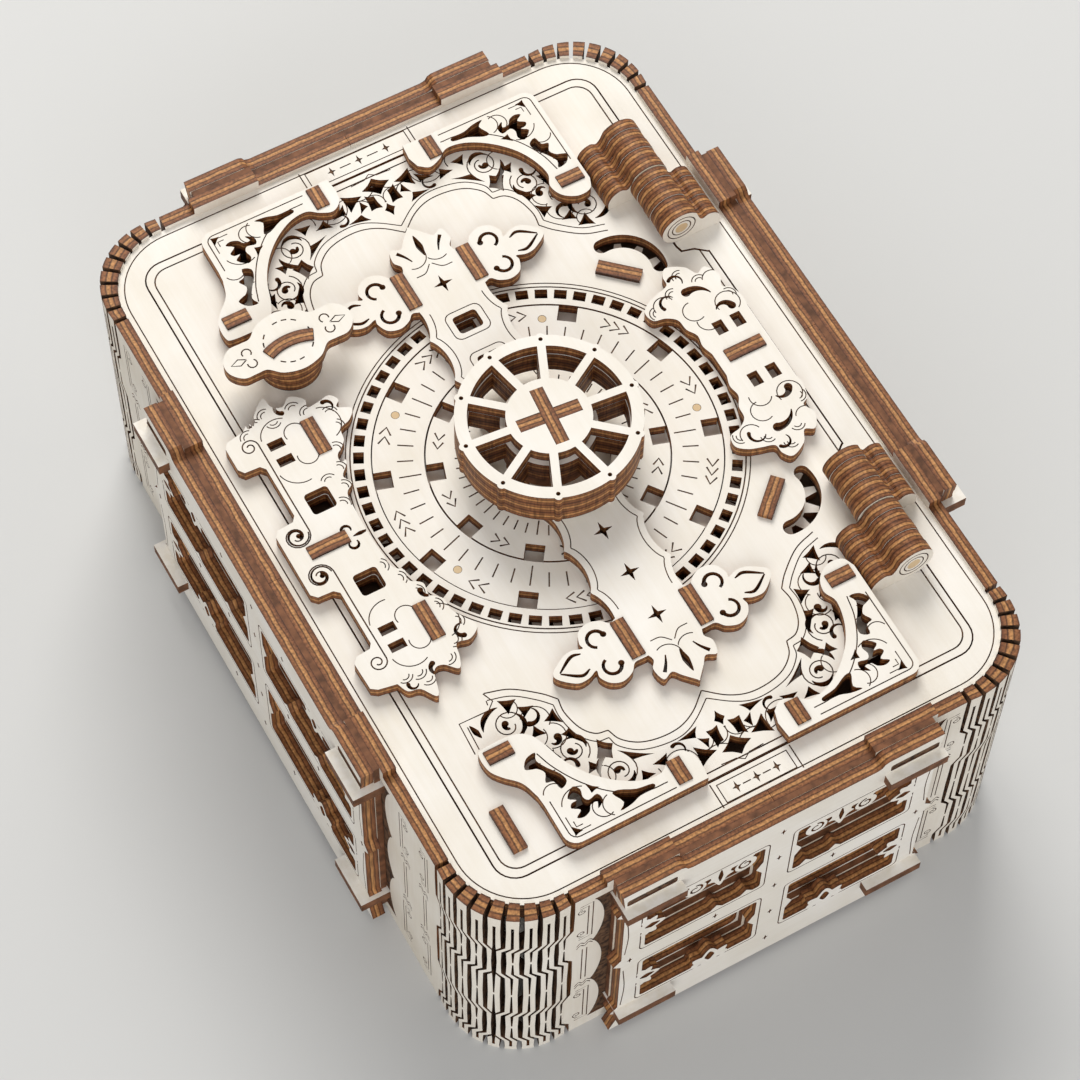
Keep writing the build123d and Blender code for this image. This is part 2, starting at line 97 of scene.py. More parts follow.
def box(x, y, w, l, r=0.0, turn=0.0, n=5):
    """A rectangle round x, y with corner radius r, turned about its middle."""
    if r <= 0:
        loop = np.array([(w, l), (-w, l), (-w, -l), (w, -l)]) / 2
    else:
        corners = [
            (w / 2 - r, l / 2 - r, 0), (r - w / 2, l / 2 - r, 90), (r - w / 2, r - l / 2, 180),
            (w / 2 - r, r - l / 2, 270),
        ]
        loop = np.concatenate([arc(cx, cy, r, a, a + 90, n) for cx, cy, a in corners])
    return spin(loop, turn) + (x, y)


def spin(loop, turn):
    """The loop turned about the origin by an angle in degrees."""
    c, s = math.cos(math.radians(turn)), math.sin(math.radians(turn))
    return np.asarray(loop, float) @ np.array([(c, s), (-s, c)])


def smooth(points, closed=True, n=6):
    """Catmull-Rom: a cubic through each pair of points, with slopes from the neighbours either side."""
    p = np.asarray(points, float)
    if closed:
        p0, p1, p2, p3 = np.roll(p, 1, 0), p, np.roll(p, -1, 0), np.roll(p, -2, 0)
    else:
        q = np.concatenate([[2 * p[0] - p[1]], p, [2 * p[-1] - p[-2]]])
        p0, p1, p2, p3 = q[:-3], q[1:-2], q[2:-1], q[3:]
    t = (np.arange(n) / n)[None, :, None]
    p0, p1, p2, p3 = (v[:, None, :] for v in (p0, p1, p2, p3))
    curve = 2 * p1 + (p2 - p0) * t + (2 * p0 - 5 * p1 + 4 * p2 - p3) * t**2
    curve += (3 * p1 - p0 - 3 * p2 + p3) * t**3
    curve = curve.reshape(-1, 2) / 2
    return curve if closed else np.concatenate([curve, p[-1:]])


def stroke(path, width, end_width=None, middle=None):
    """Two offsets of a path, half the width to each side; the width may change along it."""
    path = np.asarray(path, float)
    way = np.gradient(path, axis=0)
    way /= np.linalg.norm(way, axis=1)[:, None] + 1e-9
    side = np.stack([-way[:, 1], way[:, 0]], 1)
    end_width = width if end_width is None else end_width
    t = np.linspace(0, 1, len(path))
    half = (width + (end_width - width) * t) / 2
    if middle is not None:
        half = half + (middle - (width + end_width) / 2) / 2 * np.sin(np.pi * t)
    half = half[:, None]
    return np.concatenate([path + side * half, (path - side * half)[::-1]])


def spiral(x, y, r_out, r_in, start, turns, n=26):
    """The radius shrinks evenly while the angle runs on from its start."""
    t = np.linspace(0, 1, n)
    a = math.radians(start) + t * turns * TURN
    r = r_out + (r_in - r_out) * t
    return np.stack([x + r * np.cos(a), y + r * np.sin(a)], 1)


def star(x, y, tall, wide=None):
    """A four-pointed star with hollow sides."""
    wide, waist = wide or tall * 0.8, 0.2 * tall
    upper = [(wide, 0), (waist, waist), (0, tall), (-waist, waist)]
    return np.array(upper + [(-a, -b) for a, b in upper]) + (x, y)


LEAF_EYE = np.array([(0, -1), (0.3, -0.35), (0.34, 0.1), (0, 1), (-0.34, 0.1), (-0.3, -0.35)])


def eye(x, y, length, width, turn=0.0):
    """A pointed drop, its tip towards +y before it is turned."""
    loop = smooth(LEAF_EYE * (width / 0.68, length / 2), n=4)
    return spin(loop, turn) + (x, y)


# %% [markdown]
# ## Cutting a board
# A laser cuts in the plane, so a board is worked out in the plane first. Each step adds a loop, cuts a loop
# away or scores a loop into the top. A constrained triangulation takes all loops at once, and each triangle
# then asks which step holds it last. The kept triangles become the two faces, and every border between kept
# and cut, or plain and scored, becomes an upright wall, so grooves are real and every board is closed.

# %% Cutting a board
FACE, EDGE, SCORE = 0, 1, 2
SCORE_DEPTH = 0.22


def inside(points, loop):
    """Even-odd rule: which points have an odd number of the loop's sides to their right."""
    hit = np.zeros(len(points), bool)
    low, high = loop.min(0), loop.max(0)
    near = np.flatnonzero(np.all((points >= low) & (points <= high), axis=1))
    if len(near) == 0:
        return hit
    a, b = loop, np.roll(loop, -1, 0)
    px, py = points[near, 0][:, None], points[near, 1][:, None]
    cross = (a[:, 1] > py) != (b[:, 1] > py)
    rise = np.where(b[:, 1] == a[:, 1], 1.0, b[:, 1] - a[:, 1])
    at = a[:, 0] + (py - a[:, 1]) * (b[:, 0] - a[:, 0]) / rise
    hit[near] = (np.sum(cross & (px < at), axis=1) % 2) == 1
    return hit


def cut_board(steps, lines=()):
    """Triangulates the loops of all steps together. Gives points, triangles and each triangle's state:
    0 cut away, 1 plain, 2 scored."""
    coords, edges = [], []
    for _, loop in steps:
        first = len(coords)
        coords.extend(map(tuple, loop))
        edges.extend((first + i, first + (i + 1) % len(loop)) for i in range(len(loop)))
    for path in lines:
        first = len(coords)
        coords.extend(map(tuple, path))
        edges.extend((first + i, first + i + 1) for i in range(len(path) - 1))
    made = delaunay_2d_cdt([Vector(c) for c in coords], edges, [], 0, 1e-4, False)
    points = np.array([(v.x, v.y) for v in made[0]])
    triangles = np.array(made[2])
    middle = points[triangles].mean(1)
    state = np.zeros(len(triangles), int)
    for kind, loop in steps:
        held = inside(middle, np.asarray(loop))
        if kind == "add":
            state[held] = 1
        elif kind == "cut":
            state[held] = 0
        elif kind == "plain":
            state[held & (state == 2)] = 1
        else:
            state[held & (state == 1)] = 2
    a, b, c = (points[triangles[:, i]] for i in range(3))
    area = (b[:, 0] - a[:, 0]) * (c[:, 1] - a[:, 1]) - (b[:, 1] - a[:, 1]) * (c[:, 0] - a[:, 0])
    triangles[area < 0] = triangles[area < 0][:, ::-1]
    state[np.abs(area) < 1e-7] = 0
    return points, triangles, state


def raise_board(steps, low, high, lines=(), depth=SCORE_DEPTH):
    """The closed solid of a cut board: vertices (u, v, w), faces, the finish of each face, and how far
    through the board each vertex lies."""
    points, triangles, state = cut_board(steps, lines)
    count = len(points)
    levels = (low, high - depth, high)
    verts = np.concatenate([np.column_stack([points, np.full(count, w)]) for w in levels])
    kept, plain, scored = triangles[state > 0], triangles[state == 1], triangles[state == 2]
    faces = np.concatenate([kept[:, ::-1], plain + 2 * count, scored + count])
    finish = np.repeat([FACE, FACE, SCORE], [len(kept), len(plain), len(scored)])

    def borders(mine):
        """Directed sides of the chosen triangles that no other chosen triangle shares."""
        sides = np.concatenate([mine[:, [0, 1]], mine[:, [1, 2]], mine[:, [2, 0]]])
        key = sides[:, 0].astype(np.int64) * count + sides[:, 1]
        back = sides[:, 1].astype(np.int64) * count + sides[:, 0]
        return sides[~np.isin(key, back)]

    def wall(sides, foot, top):
        """Upright faces on directed sides, from one level of points to a higher one."""
        a, b = sides[:, 0], sides[:, 1]
        return np.column_stack([a + foot * count, b + foot * count, b + top * count, a + top * count])

    quads = np.concatenate([wall(borders(kept), 0, 1), wall(borders(plain), 1, 2)])
    through = np.repeat([0.0, 1 - depth / (high - low), 1.0], count)
    return verts, faces, quads, finish, through


def flat(u, v, w):
    """A board that lies level: its own plane is the plane of the box."""
    return u, v, w


def make_mesh(name, parts, bend=flat, flip=False):
    """One object from one or more raised boards, bent into place by a function of u, v and w. A place that
    mirrors the board needs its faces flipped, so that they still point outwards."""
    verts, faces, finish, through = [], [], [], []
    first = 0
    for board_verts, tris, quads, tri_finish, depth in parts:
        verts.append(board_verts)
        if flip:
            tris, quads = tris[:, ::-1], quads[:, ::-1]
        faces.extend((tris + first).tolist())
        faces.extend((quads + first).tolist())
        finish.append(tri_finish)
        finish.append(np.full(len(quads), EDGE))
        through.append(depth)
        first += len(board_verts)
    verts, through = np.concatenate(verts), np.concatenate(through)
    x, y, z = bend(verts[:, 0], verts[:, 1], verts[:, 2])
    mesh = bpy.data.meshes.new(name)
    mesh.from_pydata((np.stack([x, y, z], 1) * MM).tolist(), [], faces)
    mesh.polygons.foreach_set("material_index", np.concatenate(finish).astype(np.int32))
    layer = mesh.attributes.new("through", "FLOAT", "POINT")
    layer.data.foreach_set("value", through.astype(np.float32))
    obj = bpy.data.objects.new(name, mesh)
    bpy.context.scene.collection.objects.link(obj)
    drop_loose(mesh)
    return obj


def drop_loose(mesh):
    """Removes the points that no face uses."""
    work = bmesh.new()
    work.from_mesh(mesh)
    bmesh.ops.delete(work, geom=[v for v in work.verts if not v.link_faces], context="VERTS")
    work.to_mesh(mesh)
    work.free()


# %% [markdown]
# ## The finish of plywood
# Basswood ply is pale cream with a faint straight grain. The laser chars its edges: nearly black at the two
# faces, reddish brown between them, with a lighter middle ply and fine upright streaks where the beam
# stepped. Engraved lines are scorched brown. Each finish is built from noise stretched along one axis.

# %% The finish of plywood
def nodes_for(name):
    """A new material with an empty graph but for its shader; gives the material, its links and a maker."""
    material = bpy.data.materials.new(name)
    material.use_nodes = True
    tree = material.node_tree
    shader = tree.nodes["Principled BSDF"]
    shader.inputs["Specular IOR Level"].default_value = 0.25

    def add(kind, **values):
        node = tree.nodes.new(kind)
        for key, value in values.items():
            if hasattr(node, key):
                setattr(node, key, value)
            else:
                node.inputs[key.replace("_", " ")].default_value = value
        return node

    return material, shader, tree.links.new, add


def ramp(add, link, source, stops):
    """A colour ramp over a 0 to 1 value."""
    node = add("ShaderNodeValToRGB")
    band = node.color_ramp
    while len(band.elements) < len(stops):
        band.elements.new(0.5)
    for element, (at, colour) in zip(band.elements, stops):
        element.position = at
        element.color = (*colour, 1)
    link(source, node.inputs["Fac"])
    return node.outputs["Color"]


def sum_up(add, link, operation, source, value, other=None):
    """One arithmetic node on a value; the third input is linked only when it is given."""
    node = add("ShaderNodeMath", operation=operation)
    link(source, node.inputs[0])
    node.inputs[1].default_value = value
    if other is not None:
        link(other, node.inputs[2])
    return node.outputs[0]


def noise(add, link, coords, scale, detail, stretch=None, roughness=0.5):
    """Noise on the piece's own coordinates, stretched along an axis where one scale is small."""
    if stretch:
        mapping = add("ShaderNodeMapping")
        mapping.inputs["Scale"].default_value = stretch
        link(coords, mapping.inputs["Vector"])
        coords = mapping.outputs["Vector"]
    node = add("ShaderNodeTexNoise", Scale=scale, Detail=detail, Roughness=roughness)
    link(coords, node.inputs["Vector"])
    return node.outputs["Fac"]


def roughen(add, link, shader, height, strength, roughness):
    """Fine relief from a value, and how matt the surface is."""
    shader.inputs["Roughness"].default_value = roughness
    bump = add("ShaderNodeBump", Strength=strength, Distance=0.0002)
    link(height, bump.inputs["Height"])
    link(bump.outputs["Normal"], shader.inputs["Normal"])


def face_finish(name, pale, warm, grain_axis):
    """Pale wood whose grain runs along x, y or z, with broad warm clouds and fine pores."""
    material, shader, link, add = nodes_for(name)
    coords = add("ShaderNodeTexCoord").outputs["Object"]
    squeeze = [900.0, 900.0, 900.0]
    squeeze[grain_axis] = 40.0
    grain = noise(add, link, coords, 1.0, 5.0, squeeze, 0.62)
    clouds = noise(add, link, coords, 55.0, 3.0, roughness=0.55)
    mixed = sum_up(add, link, "MULTIPLY_ADD", grain, 0.55, clouds)
    tone = sum_up(add, link, "MULTIPLY", mixed, 0.66)
    stops = [(0.30, warm), (0.52, tuple((a + b) / 2 for a, b in zip(warm, pale))), (0.72, pale)]
    link(ramp(add, link, tone, stops), shader.inputs["Base Color"])
    roughen(add, link, shader, grain, 0.12, 0.68)
    return material


def edge_finish(name):
    """Laser-cut edge: bands through the board from the attribute, broken by streaks across them."""
    material, shader, link, add = nodes_for(name)
    coords = add("ShaderNodeTexCoord").outputs["Object"]
    streaks = noise(add, link, coords, 1500.0, 3.0, (1.0, 1.0, 0.12), 0.6)
    blotch = noise(add, link, coords, 260.0, 2.0)
    depth = add("ShaderNodeAttribute", attribute_name="through").outputs["Fac"]
    wobble = sum_up(add, link, "MULTIPLY_ADD", blotch, 0.16, depth)
    through = sum_up(add, link, "SUBTRACT", wobble, 0.08)
    bands = [
        (0.0, (0.055, 0.022, 0.011)), (0.08, (0.17, 0.062, 0.026)), (0.26, (0.28, 0.115, 0.044)),
        (0.34, (0.07, 0.026, 0.012)), (0.42, (0.44, 0.205, 0.075)), (0.58, (0.55, 0.28, 0.105)),
        (0.66, (0.08, 0.030, 0.013)), (0.76, (0.32, 0.135, 0.050)), (0.93, (0.21, 0.080, 0.032)),
        (1.0, (0.07, 0.028, 0.013)),
    ]
    colour = ramp(add, link, through, bands)
    shade = ramp(add, link, streaks, [(0.30, (0.45, 0.42, 0.40)), (0.70, (1.25, 1.22, 1.18))])
    mix = add("ShaderNodeMix", data_type="RGBA", blend_type="MULTIPLY")
    mix.inputs[0].default_value = 1.0
    link(colour, mix.inputs[6])
    link(shade, mix.inputs[7])
    link(mix.outputs[2], shader.inputs["Base Color"])
    roughen(add, link, shader, streaks, 0.25, 0.55)
    return material


def scorch_finish(name, dark, light):
    """Scorched wood in the floor of an engraved line, patchy like a hand-guided burn."""
    material, shader, link, add = nodes_for(name)
    coords = add("ShaderNodeTexCoord").outputs["Object"]
    patches = noise(add, link, coords, 700.0, 2.0)
    link(ramp(add, link, patches, [(0.35, dark), (0.65, light)]), shader.inputs["Base Color"])
    shader.inputs["Roughness"].default_value = 0.8
    return material


def whole_board_finish(name, pale, warm, across, brown):
    """For a board that is one working mesh: its broad faces look across one axis and stay pale, and every
    other side is a burnt edge. The choice is made from the surface's own direction on the board."""
    material, shader, link, add = nodes_for(name)
    texture = add("ShaderNodeTexCoord")
    parts = add("ShaderNodeSeparateXYZ")
    link(texture.outputs["Normal"], parts.inputs[0])
    grain = noise(add, link, texture.outputs["Object"], 420.0, 4.0)
    dark = tuple(0.4 * c for c in brown)
    size = sum_up(add, link, "ABSOLUTE", parts.outputs[across], 0.0)
    mix = add("ShaderNodeMix", data_type="RGBA")
    link(sum_up(add, link, "GREATER_THAN", size, 0.7), mix.inputs[0])
    link(ramp(add, link, grain, [(0.32, dark), (0.68, brown)]), mix.inputs[6])
    link(ramp(add, link, grain, [(0.32, warm), (0.68, pale)]), mix.inputs[7])
    link(mix.outputs[2], shader.inputs["Base Color"])
    shader.inputs["Roughness"].default_value = 0.65
    return material


CREAM, WARM = (0.89, 0.85, 0.79), (0.79, 0.73, 0.63)
BURNT = (0.22, 0.09, 0.04)
face_y = face_finish("basswood along", CREAM, WARM, 1)
face_x = face_finish("basswood across", CREAM, WARM, 0)
face_z = face_finish("basswood upright", (0.86, 0.81, 0.73), (0.75, 0.68, 0.57), 2)
dowel = face_finish("birch dowel", (0.72, 0.55, 0.34), (0.58, 0.40, 0.22), 1)
edge = edge_finish("laser edge")
# This dark finish is the scorch of engraved lines, and it is also painted shade on the slit walls of the
# bends, beside the wall lobes and in the slot over each panel tab.
scorch_and_shade = scorch_finish("engraved line", (0.030, 0.016, 0.010), (0.16, 0.085, 0.045))
print("finishes", len(bpy.data.materials))


def dress(obj, body, stands_for, face, line=None):
    """Gives a cut board its three finishes and its body, and hides the nodes that it stands for."""
    for material in (face, edge, line or scorch_and_shade):
        obj.data.materials.append(material)
    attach(obj, body)
    if stands_for:
        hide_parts(*stands_for)
    faces = len(obj.data.polygons)
    print(f"{obj.name}: {faces} faces")
    return obj


# %% [markdown]
# ## Camera and light
# The box is seen from its near left, well above the lid, with a long lens. The light is broad and soft and
# comes mostly from the far side, as from a window behind the table.

# %% Camera and light
def aim(position, right, down, forward, lens):
    """A camera from its three axes; Blender's camera looks along its own minus z."""
    camera = bpy.data.objects.new("camera", bpy.data.cameras.new("camera"))
    axes = Matrix((right, [-c for c in down], [-c for c in forward])).transposed()
    camera.matrix_world = Matrix.Translation(Vector(position) * MM) @ axes.to_4x4()
    camera.data.lens = lens
    camera.data.sensor_width = 36.0
    camera.data.clip_end = 10.0
    bpy.context.scene.collection.objects.link(camera)
    bpy.context.scene.camera = camera


aim((-202.25, -340.36, 744.77), (0.87315, -0.48727, 0.01329), (-0.42038, -0.76654, -0.48549),
    (0.24675, 0.41832, -0.87414), 117.1)

floor_mesh = bpy.data.meshes.new("floor")
floor_mesh.from_pydata([(-3, -3, 0), (3, -3, 0), (3, 3, 0), (-3, 3, 0)], [], [(0, 1, 2, 3)])
floor = bpy.data.objects.new("floor", floor_mesh)
bpy.context.scene.collection.objects.link(floor)
floor_finish, floor_shader, _, _ = nodes_for("floor")
floor_shader.inputs["Base Color"].default_value = (0.62, 0.62, 0.61, 1)
floor_shader.inputs["Roughness"].default_value = 0.9
floor_mesh.materials.append(floor_finish)


def soft_light(name, position, size, power, colour=(1, 1, 1)):
    """A square area light that faces the middle of the box."""
    lamp = bpy.data.lights.new(name, "AREA")
    lamp.size = size
    lamp.energy = power
    lamp.color = colour
    obj = bpy.data.objects.new(name, lamp)
    obj.location = position
    aim_at = Vector((0, 0, 0.05)) - obj.location
    obj.rotation_euler = aim_at.to_track_quat("-Z", "Y").to_euler()
    bpy.context.scene.collection.objects.link(obj)


soft_light("window", (0.35, 0.95, 0.95), 0.75, 17.0, (1.0, 0.985, 0.96))
soft_light("fill", (-0.55, -1.05, 0.7), 1.0, 8.0, (0.98, 0.985, 1.0))
world = bpy.data.worlds.new("studio")
world.use_nodes = True
world.node_tree.nodes["Background"].inputs["Color"].default_value = (1, 1, 1, 1)
world.node_tree.nodes["Background"].inputs["Strength"].default_value = 0.42
bpy.context.scene.world = world
bpy.context.scene.view_settings.view_transform = "Standard"

# %% [markdown]
# ## Frame and lid
# The frame is a rounded rim with a fine border line. The lid lies in it, level with it. Two tongues of the
# frame reach under the fixed halves of the hinges, with an S-shaped end each.

# %% Frame and lid
def tongue(sign, grow=0.0):
    """The tongue of the frame on one side of the middle, grown by a small gap for the lid's cut-out."""
    corners = [
        (60.5, 29.0), (58.6, 29.6), (56.2, 31.6), (53.4, 32.4), (53.0, 34.0), (53.0, 49.0), (53.6, 51.2),
        (56.4, 52.2), (58.4, 53.6), (60.5, 54.2),
    ]
    loop, middle = np.array(corners), np.array((60.5, 41.5))
    scale = 1 + grow / np.array((7.5, 12.5))
    loop = (loop - middle) * scale + middle
    return loop * (1, sign)


def loop_line(outer, inner):
    """A closed engraved line between two loops: the outer one is scored and the inner one made plain."""
    return [("score", outer), ("plain", inner)]


FINE, MEDIUM, BOLD = 0.26, 0.3, 0.34


def lines_of(paths, width):
    """Engraved lines along open paths."""
    return [("score", stroke(path, width)) for path in paths]


def both(steps, over_x=True, over_y=False):
    """The steps and their mirror images."""
    made = list(steps)
    if over_x:
        made += [(kind, loop * (-1, 1)) for kind, loop in steps]
    if over_y:
        made += [(kind, loop * (1, -1)) for kind, loop in made]
    return made


NAME_PLATE = {1: 14.2, -1: 9.8}
rim_steps = [("add", box(0, 0, 132.8, 188.6, 16.8, n=16))]
rim_steps += loop_line(box(0, 0, 130.3, 186.0, 15.6, n=16), box(0, 0, 129.7, 185.4, 15.3, n=16))
rim_steps += [("cut", box(0, 0, 118.0, 174.0, 5.5, n=8)), ("add", tongue(1)), ("add", tongue(-1))]
for side in (-1, 1):
    plate_half = NAME_PLATE[side]
    rim_steps += lines_of([
        [(-plate_half, side * 87.3), (-plate_half, side * 93.4)],
        [(plate_half, side * 87.3), (plate_half, side * 93.4)],
    ], MEDIUM)
    middle_y, inner_half = side * 90.35, plate_half - 1.1
    rim_steps += loop_line(box(0, middle_y, 2 * inner_half, 4.8),
                           box(0, middle_y, 2 * inner_half - 0.5, 4.3))
    for x in (-1, 0, 1):
        rim_steps.append(("score", star(x * plate_half * 0.5, middle_y, 1.5, 1.1)))
    for x in (-0.25, 0.25):
        rim_steps += lines_of([
            [((x - 0.1) * plate_half, middle_y), ((x + 0.1) * plate_half, middle_y)],
        ], MEDIUM)
rim = raise_board(rim_steps, *span_z("top_frame"))
dress(make_mesh("rim_board", [rim]), "case", ["top_frame"], face_y)

# %% [markdown]
# ## Lace in the lid
# The lace is not a net but a crowd of small dark cuts: commas that curl like leaves, sickles inside
# engraved spirals, and pointed gaps with hollow sides. Each quarter of the lid mirrors the same drawing.

# %% Lace in the lid
def comma(x, y, r, start, end, fat, thin=0.25):
    """A curled drop: a ball on a stroke that runs round an arc and thins to its tip."""
    path = arc(x, y, r, start, end, 12)
    ball = circle(path[0][0], path[0][1], fat * 0.52, 14)
    return [("cut", stroke(path, fat, thin)), ("cut", ball)]


def leaf_cut(*corners):
    """A dark gap between curls: sharp corners joined by sides that bow inwards a little."""
    corners = np.asarray(corners, float)
    middle = corners.mean(0)
    corners = middle + 1.2 * (corners - middle)
    points = []
    for here, after in zip(corners, np.roll(corners, -1, 0)):
        points.append(here)
        for a, b, c in ((0.66, 0.24, 0.1), (0.43, 0.43, 0.14), (0.24, 0.66, 0.1)):
            points.append(a * here + b * after + c * middle)
    return [("cut", np.array(points))]


def crescent_cut(x, y, r, start, end, fat):
    """A dark sickle along an arc, pointed at both ends."""
    return [("cut", stroke(arc(x, y, r, start, end, 12), 0.15, 0.15, fat))]


def curl(x, y, start, way=1, r=4.0):
    """A breaking wave: an engraved spiral with a dark sickle inside it and one behind it."""
    lean = spin([(r * 0.2, 0)], start + way * 100)[0]
    steps = lines_of([spiral(x, y, r, 1.5, start, way * 1.3)], MEDIUM)
    steps += crescent_cut(x + lean[0], y + lean[1], r * 0.66, start + way * 30, start + way * 170, 1.15)
    steps += crescent_cut(x - lean[0], y - lean[1], r * 1.1, start + way * 200, start + way * 290, 1.3)
    return steps + comma(x, y, 0.75, start + way * 240, start + way * 400, 1.5, 0.5)


cloud_edge = smooth([
    (0, 69.3), (4.5, 72.6), (8.6, 74.4), (13.6, 74.4), (18.6, 73.0), (22.1, 70.0), (22.9, 67.4),
], False)
cloud_side = smooth([(22.9, 67.4), (25.8, 66.8), (28.6, 63.4), (29.7, 58.4), (29.5, 54.9)], False)
cloud_tail = smooth([(29.5, 54.9), (32.0, 52.2), (36.3, 48.8), (41.4, 47.2)], False)
cloud_inner = [smooth([(0, 67.2), (4.2, 70.7), (8.5, 72.5), (13.4, 72.6), (17.8, 71.4), (21.0, 68.8),
                       (22.2, 65.8)], False)]
cloud_inner += [
    smooth([(22.2, 65.8), (25.0, 65.1), (27.2, 62.3), (28.3, 57.7), (27.9, 54.2)], False),
    smooth([(27.9, 54.2), (30.6, 51.2), (35.8, 47.2), (41.2, 45.4)], False),
]
quarter = lines_of([cloud_edge, cloud_side, cloud_tail], FINE) + lines_of(cloud_inner, MEDIUM)
quarter += curl(24.6, 75.4, 200, -1, 3.8) + curl(30.9, 66.2, 120, 1, 3.7) + curl(40.3, 54.6, 60, 1, 4.2)
for corners in (
    ((25.4, 66.9), (23.2, 69.0), (24.6, 71.6), (27.2, 70.3)),
    ((22.4, 71.2), (20.9, 74.2), (16.8, 75.0), (19.2, 73.6)), ((17.6, 77.4), (14.2, 76.6), (15.2, 79.0)),
    ((10.2, 75.2), (5.6, 74.2), (6.8, 76.2)), ((3.9, 76.4), (1.5, 76.2), (1.9, 79.4), (3.6, 80.2)),
    ((8.2, 78.4), (4.7, 80.9), (8.6, 82.6)), ((6.4, 76.8), (4.4, 77.8), (5.4, 79.6)),
    ((12.8, 78.2), (9.8, 78.2), (9.4, 80.6)), ((12.2, 81.4), (10.6, 83.2), (13.8, 83.4)),
    ((20.6, 77.6), (18.6, 79.4), (21.8, 80.0)), ((29.2, 61.4), (28.2, 65.6), (31.2, 62.0)),
    ((32.8, 57.4), (30.2, 55.8), (29.9, 59.2)), ((27.4, 72.4), (29.4, 70.4), (30.6, 72.6)),
    ((35.4, 62.8), (34.2, 66.4), (36.4, 66.2)), ((39.4, 48.6), (36.2, 49.9), (38.8, 52.0)),
    ((33.6, 53.0), (36.4, 51.8), (36.2, 54.4)), ((35.6, 57.4), (34.2, 60.0), (37.2, 59.6)),
):
    quarter += leaf_cut(*corners)
quarter += comma(33.3, 62.3, 1.0, 200, 20, 1.7) + comma(35.2, 54.8, 1.9, 60, 230, 1.3)
quarter += comma(11.4, 77.0, 1.5, 300, 120, 0.9) + comma(33.4, 69.2, 1.7, 160, 340, 1.1)
quarter += lines_of([
    arc(12.4, 80.8, 3.9, 170, 320), arc(8.6, 78.8, 3.2, 20, 150), arc(33.2, 61.2, 3.0, 60, 250),
    arc(34.6, 56.2, 3.2, 130, 330), arc(4.2, 84.0, 4.2, 190, 290), arc(16.4, 79.6, 2.4, 100, 280),
    arc(28.4, 74.8, 2.6, 240, 60), arc(6.0, 77.4, 2.6, 200, 20), arc(2.4, 77.6, 2.4, 80, 200),
    arc(19.8, 79.6, 2.6, 60, 200), arc(36.6, 59.8, 2.6, 60, 200), arc(38.6, 51.0, 2.2, 200, 20),
], FINE)
near_left_end = lines_of([
    [(-41.4, -45.4), (-40.4, -47.9), (-42.2, -49.5), (-49.3, -49.3), (-49.7, -57.2)],
], MEDIUM)
near_left_end += lines_of([[(-41.6, -47.2), (-41.8, -48.3)], [(-48.1, -50.8), (-48.4, -56.6)]], FINE)
near_left_end += [("cut", eye(-47.1, -52.6, 4.0, 1.3, 15))]
centre_piece = leaf_cut((0, 79.7), (3.0, 82.0), (0, 83.9), (-3.0, 82.0))
centre_piece += leaf_cut((0, 73.0), (1.1, 74.8), (0, 76.2), (-1.1, 74.8))
centre_piece += lines_of([[(-5.2, 84.4), (-1.6, 84.6), (0, 85.6), (1.6, 84.6), (5.2, 84.4)]], FINE)

lid_steps = [("add", box(0, 0, 2 * LID_X, 2 * LID_Y, 5.0, n=8))]
lid_steps += loop_line(box(0, 0, 114.3, 169.9, 4.2, n=8), box(0, 0, 113.6, 169.2, 3.9, n=8))
for radius, width in ((45.0, 0.28), (44.0, 0.34)):
    lid_steps += loop_line(circle(0, 0, radius + width / 2, 120), circle(0, 0, radius - width / 2, 120))
lid_steps += both(quarter, True, True) + both(centre_piece, False, True) + near_left_end
lid_steps += [("cut", circle(0, 0, 39.4, 120))]
for k in range(60):
    turn = 3 + 6 * k
    at = spin([(42.1, 0)], turn)[0]
    lid_steps.append(("cut", box(at[0], at[1], 2.4, 2.9, 0, turn)))
lid_steps += [("cut", tongue(1, 0.5)), ("cut", tongue(-1, 0.5))]
gear_x, gear_y = 38.47, 33.48
crescent = stroke(arc(gear_x, gear_y, 8.7, -14, 96, 20), 3.6)
for sign in (1, -1):
    lid_steps += [("cut", crescent * (1, sign))]
    for angle in (-14, 96):
        end_at = arc(gear_x, gear_y, 8.7, angle, angle, 1)[0]
        lid_steps += [("cut", circle(end_at[0], sign * end_at[1], 1.8, 20))]
for side in (-1, 1):
    lid_steps += lines_of([[(-NAME_PLATE[side], side * 86.5), (NAME_PLATE[side], side * 86.5)]], MEDIUM)
lid_steps += [("cut", circle(-39.5, 48.2, 2.5, 24))]
# Under the brackets the lid is cut away, so the dark backing shows through as painted shade.
under_bracket = np.array([
    (-42.4, 67.0), (-41.0, 65.0), (-39.2, 65.0), (-36.6, 71.6), (-31.6, 77.6), (-22.0, 82.6),
    (-20.6, 84.5), (-41.0, 85.3), (-41.8, 75.0),
])
for way in (-1, 1):
    lid_steps += [("cut", under_bracket * (1, way)), ("cut", under_bracket * (-0.985, way))]
# Under the square windows of the left board the lid is cut, so the dark backing shows there as painted
# shade.
lid_steps += [("cut", box(-50.6, y, 5.4, 5.3, 0.9)) for y in (11.9, -11.1)]
lid = raise_board(lid_steps, *span_z("lid_plate"))
dress(make_mesh("lid_board", [lid]), "lid", ["lid_plate"], face_y)

# %% [markdown]
# ## Dial rings
# Two flat rings turn level with the lid. Each has ten square finger notches, fifty tick marks and small
# chevrons, which are scored and not printed. The outer ring also shows the ends of five dowels.

# %% Dial rings
def chevron(r, angle, way, size=1.3):
    """A small v on the ring, pointing round it one way or the other."""
    arms = np.array([(-size, -way * size * 0.8), (0, way * size * 0.7), (size, -way * size * 0.8)])
    return [("score", stroke(spin(arms + (r, 0), angle), 0.42))]


